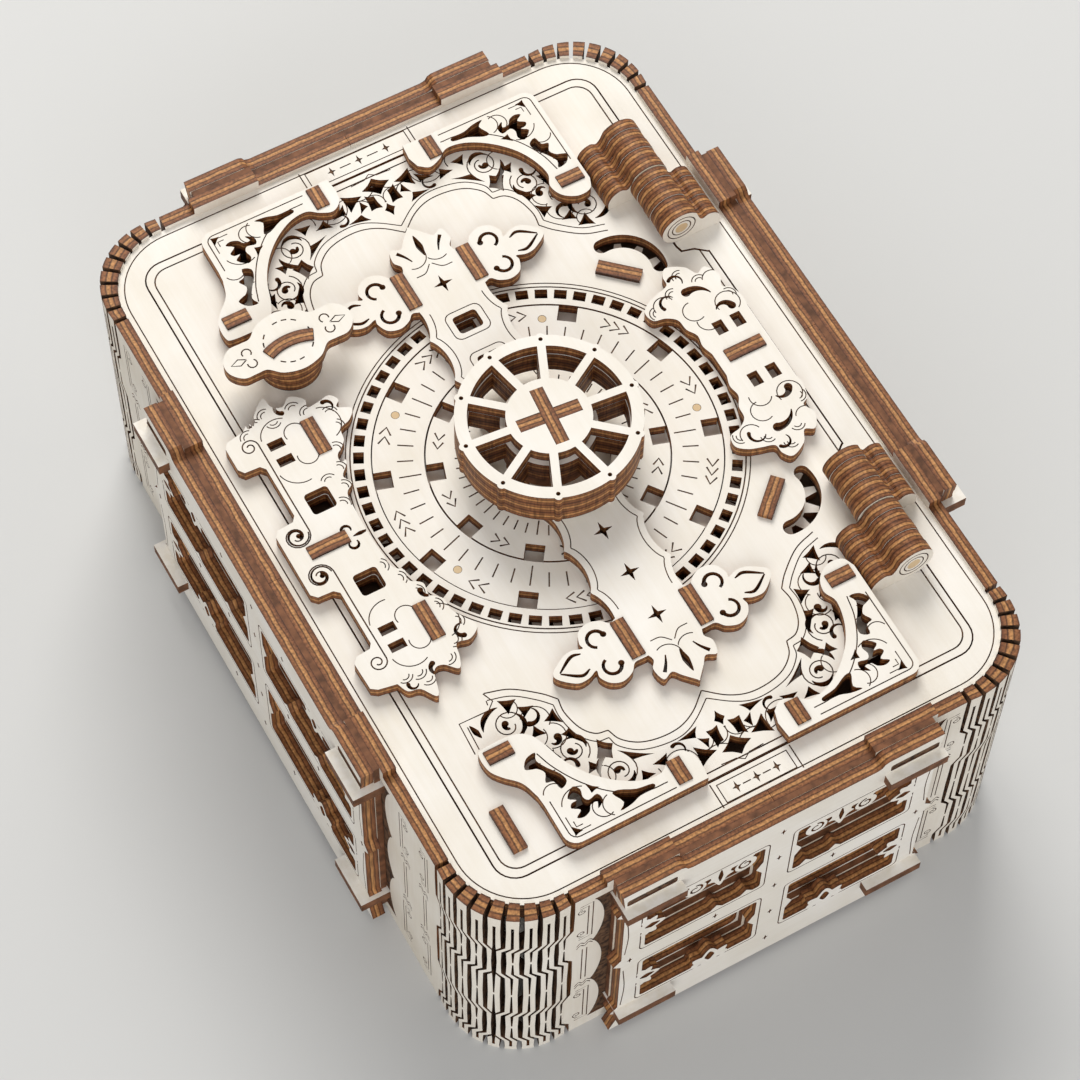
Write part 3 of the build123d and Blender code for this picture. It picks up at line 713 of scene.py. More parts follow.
def ring_steps(outer, inner, notch, ticks, long_ticks):
    """A ring with notches in its outer rim and ticks nearer its middle."""
    steps = [("add", circle(0, 0, outer, 120)), ("cut", circle(0, 0, inner, 100))]
    for k in range(10):
        at = spin([(outer - notch / 2 + 0.5, 0)], 18 + 36 * k)[0]
        steps.append(("cut", box(at[0], at[1], notch + 1.0, 4.4, 0, 18 + 36 * k)))
    for k in range(50):
        low, high = long_ticks if k % 5 == 0 else ticks
        steps.append(("score", stroke(spin([(low, 0), (high, 0)], 18 + 7.2 * k), 0.34)))
    return steps


outer_steps = ring_steps(39.1, 27.6, 4.0, (30.0, 33.6), (28.6, 33.6))
for k in range(10):
    spread = (-3.6, 0, 3.6) if k % 2 == 0 else (-1.9, 1.9)
    for offset in spread:
        outer_steps += chevron(36.6, 180 - 36 * k + offset, -1)
DOWELS = [spin([(35.5, 0)], 63 + 72 * k)[0] for k in range(5)]
outer_steps += [("score", circle(*at, 1.0, 20)) for at in DOWELS]
inner_steps = ring_steps(27.2, 14.0, 3.9, (18.2, 20.8), (17.2, 20.8))
for k in range(10):
    for offset in (-2.6, 2.6):
        inner_steps += chevron(24.6, 36 * k + offset, 1, 1.15)
ring_span, inner_span = span_z("outer_ring"), span_z("inner_ring")
CLEARANCE, RING_SCORE = 0.04, 0.15
outer_board = raise_board(outer_steps, ring_span[0] + CLEARANCE, ring_span[1], depth=RING_SCORE)
outer_ring = make_mesh("outer_code_ring", [outer_board])
dress(outer_ring, "outer_ring", ["outer_ring"], face_y)
spots = [raise_board([("add", circle(*at, 0.9, 20))], RING_TOP - 0.14, RING_TOP - 0.02) for at in DOWELS]
dress(make_mesh("dowel_ends", spots), "outer_ring", [], dowel)
inner_ring = make_mesh("inner_code_ring", [raise_board(inner_steps, *inner_span, depth=RING_SCORE)])
dress(inner_ring, "inner_ring", ["inner_ring"], face_y)

# %% [markdown]
# ## Dial bridge
# A bridge board crosses the dial and carries the wheel. Its sides are scalloped, and each end grows into a
# crown of leaves with an arm to each side. The arms end in pairs of round lobes and a pointed leaf.

# %% Dial bridge
def scallop(y, cusp=10.3, bay=8.3, first=13.0, period=11.85):
    """Half the width of the bridge at y: cusp - (cusp - bay) sin(pi p)^0.6, with p running from 0 to 1
    between two cusps; the cusps lie at first + k * period on each side of the middle."""
    phase = np.mod(np.abs(y) - first, period) / period
    return cusp - (cusp - bay) * np.sin(np.pi * phase) ** 0.6


climb = np.linspace(-46, 46, 185)
bridge_body = np.concatenate([
    np.stack([scallop(climb), climb], 1), np.stack([-scallop(climb), climb], 1)[::-1],
])
arm = [
    (0, 44.2), (7.5, 44.4), (10, 45.0), (11.6, 43.6), (14.2, 42.7), (17, 43.6), (18.3, 46.2),
    (18.2, 47.6), (20.6, 46.9), (23.4, 47.5), (27.0, 50.5), (23.6, 54.2), (20.6, 54.5), (18.2, 53.6),
    (18.4, 55.4), (17, 57.6), (14.4, 58.6), (11.6, 57.6), (10, 55.9), (7.4, 55.8), (0, 55.8),
]
crown = [(0, 52), (6.6, 54), (6.2, 57.2), (7.4, 59.2), (6.6, 62.4), (4.2, 61.6), (2.6, 63.4), (0.0, 66.2)]
bridge_quarter = [
    ("add", np.concatenate([smooth(arm, False, 5), [(-0.2, 55.8), (-0.2, 44.2)]])),
    ("add", np.concatenate([smooth(crown, False, 4), [(-0.2, 66.2), (-0.2, 52)]])),
]
for y, start, end in ((54.2, 170, -70), (47.0, 190, 430)):
    bridge_quarter += [("cut", stroke(arc(14.6, y, 2.0, start, end, 14), 0.9, 0.7))]
    ball = arc(14.6, y, 2.0, start, start, 1)[0]
    bridge_quarter += [("cut", circle(ball[0], ball[1], 0.72, 12))]
bridge_quarter += [
    ("cut", stroke(smooth([(19.2, 52.6), (21.6, 53.2), (25.4, 50.7)], False), 0.3, 0.35, 0.8)),
    ("cut", stroke(smooth([(19.2, 48.5), (21.6, 48.2), (25.4, 50.5)], False), 0.3, 0.35, 0.8)),
    ("cut", stroke(smooth([(3.4, 57.4), (4.3, 59.2), (5.6, 61.0)], False), 0.3, 0.9)),
]
bridge_quarter += lines_of([
    arc(2.9, 58.4, 3.2, 150, 300), smooth([(0.3, 55.0), (2.2, 53.2), (4.6, 53.0)], False),
], 0.26)
steps = [("add", bridge_body)] + both(bridge_quarter, True, True)
inset_y = np.linspace(-43, 43, 173)
inset = np.stack([scallop(inset_y, 8.6, 6.7), inset_y], 1)
steps += lines_of([inset[inset_y > 17], inset[inset_y < -17]], FINE)
steps += lines_of([inset[inset_y > 17] * (-1, 1), inset[inset_y < -17] * (-1, 1)], FINE)
for y in (-24.5, -36.2, -48.0, 48.9):
    steps.append(("cut", star(0, y, 2.5, 2.4)))
for y in (37.2, 25.5):
    steps += loop_line(box(0, y, 9.2, 7.7, 1.8), box(0, y, 8.7, 7.2, 1.6))
    steps.append(("cut", box(0, y, 6.0, 4.8, 0.9)))
for side in (-1, 1):
    steps.append(("cut", eye(0, side * 60.6, 6.2, 1.5, 0 if side > 0 else 180)))
steps.append(("cut", circle(0, 0, 3.1, 24)))
BRIDGE_KEYS = [(sx * 8.5, sy * 50.5 + 0.4, 3.4, 10.0, 0) for sx in (-1, 1) for sy in (-1, 1)]
steps += [("cut", box(x, y, w, l, 0, turn)) for x, y, w, l, turn in BRIDGE_KEYS]
bridge_span = span_z("dial_bridge")
dress(make_mesh("bridge_board", [raise_board(steps, *bridge_span)]), "lid", ["dial_bridge"], face_y)

# %% [markdown]
# ## Ornament boards and corner brackets
# These boards lie on the lid one ply up. Their straight sides are set out as corners and their leafy sides
# as smooth curves. The brackets are frames with leaf cuts, and the far and near ones mirror each other.

# %% Ornament boards
def leafy(corners, leaves):
    """A closed outline of straight corners followed by a smooth leafy edge."""
    return np.concatenate([np.asarray(corners, float), smooth(leaves, False, 5)])


left_corners = [
    (-61.2, -35.2), (-62.6, -34.2), (-62.8, -27.4), (-61.6, -26.0), (-58.2, -25.7), (-57.4, -24.6),
    (-57.4, -10.6), (-58.6, -9.5), (-62.2, -9.3), (-63.4, -8.0), (-63.4, 8.2), (-62.4, 9.6),
    (-58.4, 9.9), (-57.4, 11.2), (-57.4, 24.6), (-58.4, 25.8), (-62.0, 26.0), (-63.0, 27.4),
    (-63.0, 33.4), (-62.0, 34.8),
]
left_leaves = [
    (-57.6, 35.6), (-55.8, 37.0), (-54.8, 35.8), (-53.4, 38.4), (-50.0, 41.2), (-49.2, 38.4),
    (-47.0, 37.2), (-44.6, 38.8), (-41.8, 36.6), (-42.2, 34.4), (-39.2, 34.6), (-36.6, 35.0),
    (-35.2, 33.0), (-36.4, 31.4), (-33.6, 29.6), (-35.4, 27.2), (-38.2, 26.0), (-39.0, 23.0),
    (-41.4, 20.4), (-41.0, 17.8), (-43.4, 15.0), (-42.4, 12.6), (-44.6, 10.6), (-45.0, 6.0),
    (-45.2, 0.0), (-45.0, -6.0), (-44.6, -10.2), (-42.6, -12.4), (-43.2, -14.8), (-40.6, -17.0),
    (-40.8, -20.0), (-38.6, -22.4), (-38.4, -25.6), (-36.8, -28.6), (-35.2, -31.6), (-38.0, -33.8),
    (-41.2, -33.4), (-42.2, -36.6), (-43.6, -39.0), (-46.2, -36.6), (-48.6, -37.0), (-50.6, -42.6),
    (-53.2, -39.4), (-55.8, -38.6), (-57.0, -36.0),
]
left_steps = [("add", leafy(left_corners, left_leaves))]
left_steps += [("cut", box(-50.6, y, 5.8, 5.7, 0.9)) for y in (11.9, -11.1)]
left_steps += [("cut", box(-52.6, y, 3.8, 2.3)) for y in (29.2, 24.6, -23.2, -27.8)]
LEFT_KEYS = [(-43.9, 27.0, 3.4, 9.6, 0), (-43.9, -25.7, 3.4, 9.6, 0), (-54.2, 1.1, 9.6, 3.4, 0)]
left_steps += [("cut", box(x, y, w, l)) for x, y, w, l, _ in LEFT_KEYS]
volutes = []
for y, way in ((31.2, 1), (-29.4, -1)):
    volutes.append(np.concatenate([[(-56.2, y - way * 16)], spiral(-58.2, y, 2.1, 0.5, 0, way * 1.4)]))
for y, way in ((6.2, -1), (-5.0, 1)):
    volutes.append(np.concatenate([[(-56.2, y - way * 13)], spiral(-59.4, y, 3.2, 0.9, 0, way * 1.4)]))
left_steps += lines_of(volutes, BOLD)
for y, way in ((6.2, -1), (-5.0, 1)):
    left_steps += [
        ("cut", stroke(spiral(-59.3, y, 2.7, 0.9, 0, way * 1.2), 0.3, 0.8)),
        ("cut", circle(-58.9, y, 0.6, 12)),
    ]
left_steps += lines_of([
    arc(-50.6, 30.6, 4.6, 60, 170), arc(-50.6, 22.6, 5.0, 190, 280), arc(-50.6, -21.6, 5.0, 80, 170),
    arc(-50.6, -29.4, 4.6, 190, 300), arc(-47.6, 30.0, 2.4, 30, 200), arc(-47.6, 23.6, 2.4, 160, 330),
    arc(-47.6, -22.2, 2.4, 30, 200), arc(-47.6, -28.6, 2.4, 160, 330), arc(-41.4, 29.0, 4.4, -70, 80),
    arc(-42.0, -27.0, 4.4, -80, 70),
], FINE)
fleur = []
for way in (1, -1):
    fleur.append(("cut", stroke(arc(-49.2, 0.6 + way * 1.9, 1.1, way * 220, way * -30, 10), 0.3, 0.3,
                                0.75)))
fleur.append(("cut", eye(-46.6, 0.5, 4.0, 0.9, -90)))
left_steps += fleur
leaf_cuts = comma(-47.4, 37.2, 1.5, 250, 60, 1.2) + comma(-55.0, 36.4, 1.0, 200, 20, 0.9)
leaf_cuts += comma(-38.4, 32.6, 1.4, 100, -60, 1.1) + comma(-40.2, 19.4, 1.5, 200, 30, 1.2)
leaf_cuts += comma(-47.6, -36.6, 1.5, 110, 300, 1.2) + comma(-54.0, -37.6, 1.1, 160, 340, 0.9)
leaf_cuts += comma(-38.6, -31.0, 1.5, 260, 60, 1.2) + comma(-40.6, -18.8, 1.5, 160, 330, 1.3)
left_steps += leaf_cuts
leaf_strokes = [
    (-57.2, 33.6, 60), (-54.4, 35.4, 40), (-51.4, 36.8, 60), (-50.6, 35.0, 200), (-45.2, 35.4, 30),
    (-42.6, 33.2, 60), (-38.6, 30.6, 0), (-38.8, 27.0, 300), (-41.6, 21.8, 330), (-43.4, 17.0, 320),
    (-44.6, 12.4, 320), (-46.6, 15.2, 30), (-46.8, 8.6, 330), (-46.8, -9.0, 300), (-44.8, -13.6, 300),
    (-43.0, -18.4, 300), (-41.0, -23.2, 300), (-38.8, -28.6, 300), (-41.4, -32.2, 240),
    (-44.6, -35.4, 250), (-50.6, -37.6, 220), (-51.8, -35.4, 230), (-54.8, -34.8, 220),
]
for x, y, turn in leaf_strokes:
    left_steps += lines_of([
        arc(x, y, 1.9, turn, turn + 120, 8), arc(x, y, 1.1, turn + 10, turn + 130, 8),
    ], FINE)
left_span = span_z("ornament_left")
dress(make_mesh("left_ornament", [raise_board(left_steps, *left_span)]), "lid", ["ornament_left"], face_y)

right_leaves = [
    (57.7, 10.6), (58.0, 13.0), (57.0, 16.6), (55.2, 18.0), (56.4, 21.0), (54.4, 24.4), (52.0, 23.6),
    (50.2, 26.4), (46.4, 28.2), (44.6, 26.4), (44.2, 24.0), (41.2, 23.0), (38.4, 22.0), (36.2, 20.0),
    (36.8, 17.2), (39.6, 16.4), (41.8, 14.6), (42.2, 11.6), (43.6, 9.0), (43.2, 6.0), (44.0, 3.2),
]
upper = smooth(right_leaves, False, 5)
right_outline = np.concatenate([upper, (upper * (1, -1))[::-1]])
right_steps = [("add", right_outline)]
right_steps += [("cut", box(x, y, 2.6, 3.6)) for x in (49.2, 53.9) for y in (8.5, -7.0)]
RIGHT_KEYS = [(51.3, 1.1, 9.6, 3.4, 0)]
right_steps += [("cut", box(*RIGHT_KEYS[0][:4]))]
drops = comma(48.2, 16.2, 4.2, 105, 20, 2.2) + comma(52.6, 12.0, 2.0, 10, 150, 1.9)
drops += comma(42.2, 19.6, 1.9, 210, 30, 0.9) + comma(46.4, 23.8, 1.6, 140, -40, 0.9)
right_steps += both(drops, False, True)
for way in (1, -1):
    right_steps += lines_of([
        arc(54.2, way * 13.6, 2.9, -60, 200), arc(46.2, way * 15.0, 2.6, 90, 300),
        arc(54.4, way * 20.6, 2.4, 0, 160), arc(41.0, way * 19.2, 2.6, 20, 190),
        arc(47.8, way * 11.4, 2.6, 160, 330),
    ], FINE)
    for x, y, turn in ((38.6, 18.4, 90), (44.2, 21.0, 60), (51.4, 21.4, 30), (48.0, 24.6, 60),
                       (55.4, 15.2, 330)):
        swirl = np.array((1, way))
        right_steps += lines_of([arc(x, y, r, turn, turn + 130, 8) * swirl for r in (1.8, 1.0)], FINE)
dress(make_mesh("right_ornament", [raise_board(right_steps, *span_z("ornament_right"))]), "lid",
      ["ornament_right"], face_y)

# %% Corner brackets
left_bracket = [(-10.0, 86.9), *arc(-40.4, 83.9, 3.0, 90, 180, 6), (-43.4, 76.0)]
left_curve = [
    (-43.6, 73.4), (-45.0, 69.2), (-48.0, 66.0), (-49.8, 63.2), (-50.0, 59.4), (-48.6, 58.2),
    (-42.0, 58.2), (-38.4, 59.8), (-36.6, 63.2), (-34.8, 68.6), (-31.8, 73.6), (-27.6, 77.8),
    (-22.8, 80.6), (-18.4, 81.2), (-15.6, 79.4), (-12.8, 78.4), (-10.4, 80.0), (-9.6, 83.0),
]
right_bracket = [(9.8, 86.9), (9.4, 83.0)]
right_curve = [
    (10.2, 80.2), (12.6, 78.6), (15.6, 79.6), (18.4, 81.4), (22.8, 80.8), (27.6, 78.0), (31.8, 73.8),
    (34.4, 69.2), (35.6, 64.0), (34.4, 60.6), (35.6, 57.2), (38.8, 55.2), (42.2, 55.6), (43.6, 58.2),
]
right_end = [*arc(40.8, 84.1, 2.8, 0, 90, 6)]
inner_left = smooth([
    (-18.0, 83.6), (-23.0, 83.2), (-29.2, 80.0), (-34.0, 75.0), (-37.4, 69.2), (-39.0, 64.6),
], False)
inner_right = smooth([
    (18.0, 83.6), (23.0, 83.2), (29.2, 80.0), (34.0, 75.0), (37.0, 69.2), (38.2, 64.0),
], False)


def bracket_cuts(side):
    """Leaf cuts of one bracket, for its far copy; side mirrors them across the lid."""
    bird = [
        (-43.0, 66.6), (-41.6, 64.6), (-39.2, 64.2), (-39.9, 66.0), (-38.6, 68.6), (-36.9, 71.0),
        (-36.5, 73.2), (-38.4, 74.2), (-39.0, 72.0), (-40.6, 71.4), (-39.6, 69.4), (-40.6, 67.8),
        (-41.6, 67.4),
    ]
    cross = [
        (-38.4, 76.8), (-36.2, 74.9), (-35.0, 76.2), (-35.4, 78.0), (-34.6, 79.2), (-32.4, 78.8),
        (-32.0, 80.6), (-33.8, 81.9), (-33.2, 80.4), (-34.8, 80.4), (-35.7, 81.6), (-37.4, 82.2),
        (-38.8, 81.6), (-37.2, 80.4), (-38.8, 79.2), (-38.2, 78.2), (-36.9, 78.0),
    ]
    wedge = [
        (-29.6, 80.4), (-28.0, 80.2), (-24.6, 81.8), (-21.0, 82.4), (-21.2, 83.5), (-24.6, 83.6),
        (-27.2, 84.4), (-30.0, 84.6), (-28.4, 83.2),
    ]
    cuts = [("cut", smooth(shape, True, 3)) for shape in (bird, cross, wedge)]
    cuts += leaf_cut((-33.4, 76.0), (-31.4, 77.6), (-33.2, 78.0))
    cuts += leaf_cut((-40.8, 83.0), (-39.2, 84.6), (-41.0, 85.0))
    cuts += lines_of([
        arc(-36.4, 79.4, 4.2, 200, 300), arc(-32.6, 82.0, 2.4, 280, 60), arc(-40.2, 74.6, 2.4, 200, 320),
        arc(-30.2, 82.6, 2.6, 120, 260), arc(-37.4, 67.6, 2.2, 90, 200),
        [(-40.9, 80.4), (-40.9, 84.4), (-37.0, 84.4)], [(-39.9, 82.0), (-39.9, 83.4), (-38.4, 83.4)],
    ], FINE)
    return cuts if side < 0 else [(kind, loop * (-0.985, 1)) for kind, loop in cuts]


BRACKET_KEYS = {
    ("left", 1): [(-14.2, 83.4, 3.4, 6.0, 0), (-45.5, 62.7, 6.2, 3.4, 0)],
    ("left", -1): [(-14.6, 82.5, 3.4, 6.0, 0), (-45.9, 60.7, 6.2, 3.4, 0)],
    ("right", 1): [(15.3, 83.4, 3.4, 6.0, 0), (39.6, 60.5, 6.2, 3.4, 0)],
    ("right", -1): [(14.5, 82.6, 3.4, 6.0, 0), (39.5, 59.1, 6.2, 3.4, 0)],
}
for side_name, sign in (("left", -1), ("right", 1)):
    if sign < 0:
        outline = np.concatenate([left_bracket, smooth(left_curve, False, 5)])
        band, frame_line = inner_left, [(-17.0, 85.6), *arc(-40.2, 83.8, 1.8, 90, 180, 5), (-42.0, 75.6)]
    else:
        outline = np.concatenate([right_bracket, smooth(right_curve, False, 5), right_end])
        band, frame_line = inner_right, [(18.4, 85.6), *arc(40.6, 83.9, 1.7, 90, 0, 5), (42.3, 65.0)]
    for end_name, way in (("far", 1), ("near", -1)):
        base = [("add", outline)] + bracket_cuts(sign) + lines_of([band, frame_line], 0.28)
        base += [("cut", box(x, y, w, l)) for x, y, w, l, _ in BRACKET_KEYS[(side_name, way)]]
        base = [(kind, loop * (1, way)) for kind, loop in base]
        node = f"bracket_{end_name}_{side_name}"
        piece = make_mesh(f"{end_name}_{side_name}_bracket", [raise_board(base, *span_z(node))])
        dress(piece, "lid", [node], face_y)

# %% [markdown]
# ## Tenons
# Short bars of ply stand on edge in slots and lock the boards together. Their tops are cut edges, so the
# laser's brown shows there, with the ply's stripes running along the bar.

# %% Tenons
def bar(path, width, low, high):
    """An upright bar of ply along a path. Its layers run along the path and show on top as stripes."""
    path = np.asarray(path, float)
    along = np.gradient(path, axis=0)
    normal = np.stack([-along[:, 1], along[:, 0]], 1) / np.linalg.norm(along, axis=1)[:, None]
    level = np.array([0.0, 0.28, 0.40, 0.60, 0.72, 1.0])
    rows, stops = len(level), len(path)
    plan = (path[:, None, :] + normal[:, None, :] * ((level - 0.5) * width)[None, :, None]).reshape(-1, 2)
    verts = np.concatenate([np.column_stack([plan, np.full(rows * stops, z)]) for z in (low, high)])
    top, quads = rows * stops, []
    for i in range(stops - 1):
        for k in range(rows - 1):
            a, b, c, d = i * rows + k, (i + 1) * rows + k, (i + 1) * rows + k + 1, i * rows + k + 1
            quads += [(top + a, top + b, top + c, top + d), (a, d, c, b)]
        a, b = i * rows, (i + 1) * rows
        quads.append((a, b, top + b, top + a))
        a, b = i * rows + rows - 1, (i + 1) * rows + rows - 1
        quads.append((b, a, top + a, top + b))
    for k in range(rows - 1):
        quads.append((k + 1, k, top + k, top + k + 1))
        a = (stops - 1) * rows + k
        quads.append((a, a + 1, top + a + 1, top + a))
    through = np.tile(level, 2 * stops)
    return verts, np.zeros((0, 3), int), np.array(quads), np.zeros(0), through


def tenon(x, y, w, l, low, high, turn=0.0):
    """A straight bar: its layers run along its longer side."""
    half = max(w, l) / 2
    ends = spin([(-half, 0), (half, 0)], turn + (0 if w > l else 90)) + (x, y)
    return bar(ends, min(w, l), low, high)


key_low, key_high = span_z("lid_keys")
key_low = DECK + 0.05
GEAR_KEYS = [(37.6, 34.0, 10.4, 3.4, -43), (37.5, -33.8, 10.4, 3.4, 43)]
LONE_KEY = [(-52.1, -76.0, 3.4, 10.8, 0)]
all_keys = BRIDGE_KEYS + LEFT_KEYS + RIGHT_KEYS
for (side_name, way), pair in BRACKET_KEYS.items():
    all_keys = all_keys + [(x, way * y, w, l, t) for x, y, w, l, t in pair]
bars = [tenon(x, y, w - 0.15, l - 0.15, key_low, key_high, turn) for x, y, w, l, turn in all_keys]
bars += [tenon(x, y, w, l, DECK - 2, DECK + 1.0, turn) for x, y, w, l, turn in GEAR_KEYS + LONE_KEY]
keys = make_mesh("lid_tenons", bars)
dress(keys, "lid", ["lid_keys"], face_y)

# %% [markdown]
# ## Handwheel
# The wheel is three spoked plies glued in a stack on a round foot. Only the top ply has pale faces to show.
# A small bump and a dark dot mark each spoke's end on the rim.

# %% Handwheel
WHEEL_TURN = -5.6
RIM_OUT, SPOKES = 20.8, 10
KEY_LONG, KEY_WIDE = 14.8, 3.2


def wheel_outline(rim_in, hub, spoke, bump=1.0):
    """Rim, hub and ten spokes as steps on the same board, with a bump on the rim at each spoke."""
    steps = [("add", circle(0, 0, RIM_OUT, 100))]
    for k in range(SPOKES):
        at = spin([(RIM_OUT - 0.5, 0)], WHEEL_TURN + 36 * k)[0]
        steps.append(("add", circle(at[0], at[1], bump, 16)))
    steps += [("cut", circle(0, 0, rim_in, 90)), ("add", circle(0, 0, hub, 60))]
    for k in range(SPOKES):
        steps.append(("add", stroke(spin([(hub - 1, 0), (rim_in + 1, 0)], WHEEL_TURN + 36 * k), spoke)))
    return steps


for node in ("wheel_lower", "wheel_middle"):
    steps = wheel_outline(17.8, 10.8, 2.0)
    dress(make_mesh(node.replace("wheel", "handwheel") + "_ply", [raise_board(steps, *span_z(node))]),
          "handwheel", [node], face_y)
steps = wheel_outline(18.0, 9.6, 1.9)
for k in range(SPOKES):
    at = spin([(19.75, 0)], WHEEL_TURN + 36 * k)[0]
    steps.append(("cut", circle(at[0], at[1], 0.5, 12)))
for turn in (WHEEL_TURN, WHEEL_TURN + 90):
    steps.append(("cut", box(0, 0, KEY_LONG, KEY_WIDE, 0, turn)))
dress(make_mesh("handwheel_top_ply", [raise_board(steps, *span_z("wheel_upper"))]), "handwheel",
      ["wheel_upper"], face_y)
key_span = span_z("wheel_keys")
cross = [tenon(0, 0, KEY_WIDE, KEY_LONG, key_span[0], key_span[1], WHEEL_TURN)]
half_bar = (KEY_LONG - KEY_WIDE) / 2
for way in (-1, 1):
    at = spin([(way * (KEY_WIDE + half_bar) / 2, 0)], WHEEL_TURN)[0]
    cross.append(tenon(at[0], at[1], half_bar, KEY_WIDE, key_span[0], key_span[1] - 0.1, WHEEL_TURN))
dress(make_mesh("handwheel_keys", cross), "handwheel", ["wheel_keys"], face_y)

# %% [markdown]
# ## Knob
# A round stack of plies turns the bolt. Its top plate has a round middle and a smaller lobe to each side,
# a dashed circle and a small lily in each lobe.

# %% Knob
KNOB = (-39.5, 48.2)
plate_half = [
    (0, 8.1), (4.6, 7.0), (7.4, 4.6), (9.8, 4.4), (13.0, 4.2), (15.4, 1.6), (15.4, -1.6), (13.0, -4.2),
    (9.8, -4.4), (7.4, -4.6), (4.6, -7.0), (0, -8.1),
]
half_plate = np.array(plate_half)
plate_loop = smooth(np.concatenate([half_plate, half_plate[1:-1][::-1] * (-1, 1)]), True, 5) + KNOB
steps = [("add", plate_loop)]
for k in range(16):
    if k % 4 != 1:
        steps += lines_of([arc(*KNOB, 5.6, 22.5 * k, 22.5 * k + 13, 5)], BOLD)
key_arc = stroke(arc(KNOB[0], KNOB[1] - 13.0, 13.0, 64, 116, 14), 3.2)
steps += [("cut", key_arc)]
for way in (-1, 1):
    cx = KNOB[0] + way * 10.6
    for up in (-1, 1):
        steps += lines_of([arc(cx - way * 0.9, KNOB[1] + up * 1.5, 1.1, up * 230
                               if way > 0 else 180 - up * 230,
                               up * -20 if way > 0 else 180 + up * 20, 9)], BOLD)
    lily = [(cx - way * 0.2, 0), (cx + way * 1.6, 0.9), (cx + way * 3.6, 0), (cx + way * 1.6, -0.9)]
    lily = np.array(lily) + (0, KNOB[1])
    steps += lines_of([np.concatenate([lily, lily[:1]])], MEDIUM)
plate_span = span_z("knob_plate")
dress(make_mesh("knob_top", [raise_board(steps, *plate_span)]), "knob", ["knob_plate"], face_y)
stack_low, stack_high = span_z("knob_stack")
middle = (stack_low + stack_high) / 2
plies = [raise_board([("add", circle(*KNOB, r, 60)), ("cut", key_arc)], low, high)
         for r, low, high in ((7.2, stack_low, middle - 0.02), (7.6, middle + 0.02, stack_high - 0.02))]
dress(make_mesh("knob_plies", plies), "knob", ["knob_stack"], face_y)
curved_key = make_mesh("knob_curved_key",
                       [bar(arc(KNOB[0], KNOB[1] - 13.0, 13.0, 64.6, 115.4, 14), 3.1, stack_low,
                                                span_z("knob_key")[1])])
dress(curved_key, "knob", ["knob_key"], face_y)

# %% [markdown]
# ## Hinges
# Each leaf is a row of plies cut to the same side view: a round barrel and a tail that lies on the board,
# with a wave on its back. Plies in turn are a hair larger, which gives the stack its ridges.

# %% Hinges
HINGE_X, HINGE_Z = 54.5, DECK + 5.0
PLIES, GLUE_LINE = 5, 0.03


def hinge_profile(way, grow):
    """Side view of one ply in x and z: way is -1 for a tail over the lid and 1 for a tail over the rim."""
    r = 4.85 + grow
    sweep = arc(0, 0, r, -90, 140, 30)
    tail = [
        (-4.6, 1.0), (-5.6, -0.2), (-7.2, 0.4 + grow), (-9.2, -0.4 + grow), (-10.4, -2.2), (-10.5, -4.9),
    ]
    loop = np.concatenate([sweep, smooth(tail, False, 4), [(-10.5, -4.98), (0, -4.98)]])
    return loop * (-way, 1) + (HINGE_X, HINGE_Z)


def upright(u, v, w):
    """A side view in x and z, with the board's depth along y."""
    return u, w, v


for end_name, end in (("near", -1), ("far", 1)):
    for leaf, way, body in (("fixed", 1, "case"), ("moving", -1, "lid")):
        node = f"hinge_{leaf}_{end_name}"
        low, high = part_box(node)
        low_y, high_y = low.y / MM, high.y / MM
        outer_ply = PLIES - 1 if (leaf == "fixed") == (end < 0) else 0
        pitch = (high_y - low_y) / PLIES
        plies = []
        for number in range(PLIES):
            loop = hinge_profile(way, 0.0 if number % 2 else 0.14)
            steps = [("add", loop)]
            if number == outer_ply:
                for r in (3.6, 2.4):
                    steps += loop_line(circle(HINGE_X, HINGE_Z, r + 0.15, 36),
                                       circle(HINGE_X, HINGE_Z, r - 0.15, 36))
            steps.append(("cut", circle(HINGE_X, HINGE_Z, 1.62, 24)))
            start = low_y + number * pitch
            if outer_ply == 0:
                board = raise_board(steps, -(start + pitch - GLUE_LINE), -start)
                plies.append((board[0] * (1, 1, -1), board[1][:, ::-1], board[2][:, ::-1], board[3],
                              board[4]))
            else:
                plies.append(raise_board(steps, start, start + pitch - GLUE_LINE))
        piece = make_mesh(f"{end_name}_{leaf}_hinge", plies, upright, flip=True)
        dress(piece, body, [node], face_z)

# %% [markdown]
# ## Walls with living hinges
# The wall bends round each corner because the laser slits it: long upright cuts leave thin strips that
# twist. The slits jog towards the middle of the bend in two bands and break in turn, so that the strips
# stay joined. A wall is drawn flat along its length and then bent.

# %% Walls with living hinges
STRAIGHT = WALL_X - WALL_R
BEND = WALL_R * math.pi / 2
WALL_TOP, CREST_TOP = DECK + 1.0, DECK + 3.0
half_short, half_long = STRAIGHT, WALL_Y - WALL_R
WINDOW_ROWS = ((14.0, 34.0), (42.5, 62.5))


BRIDGES_ODD, BRIDGES_EVEN = (49.5, 14.0), (32.1,)


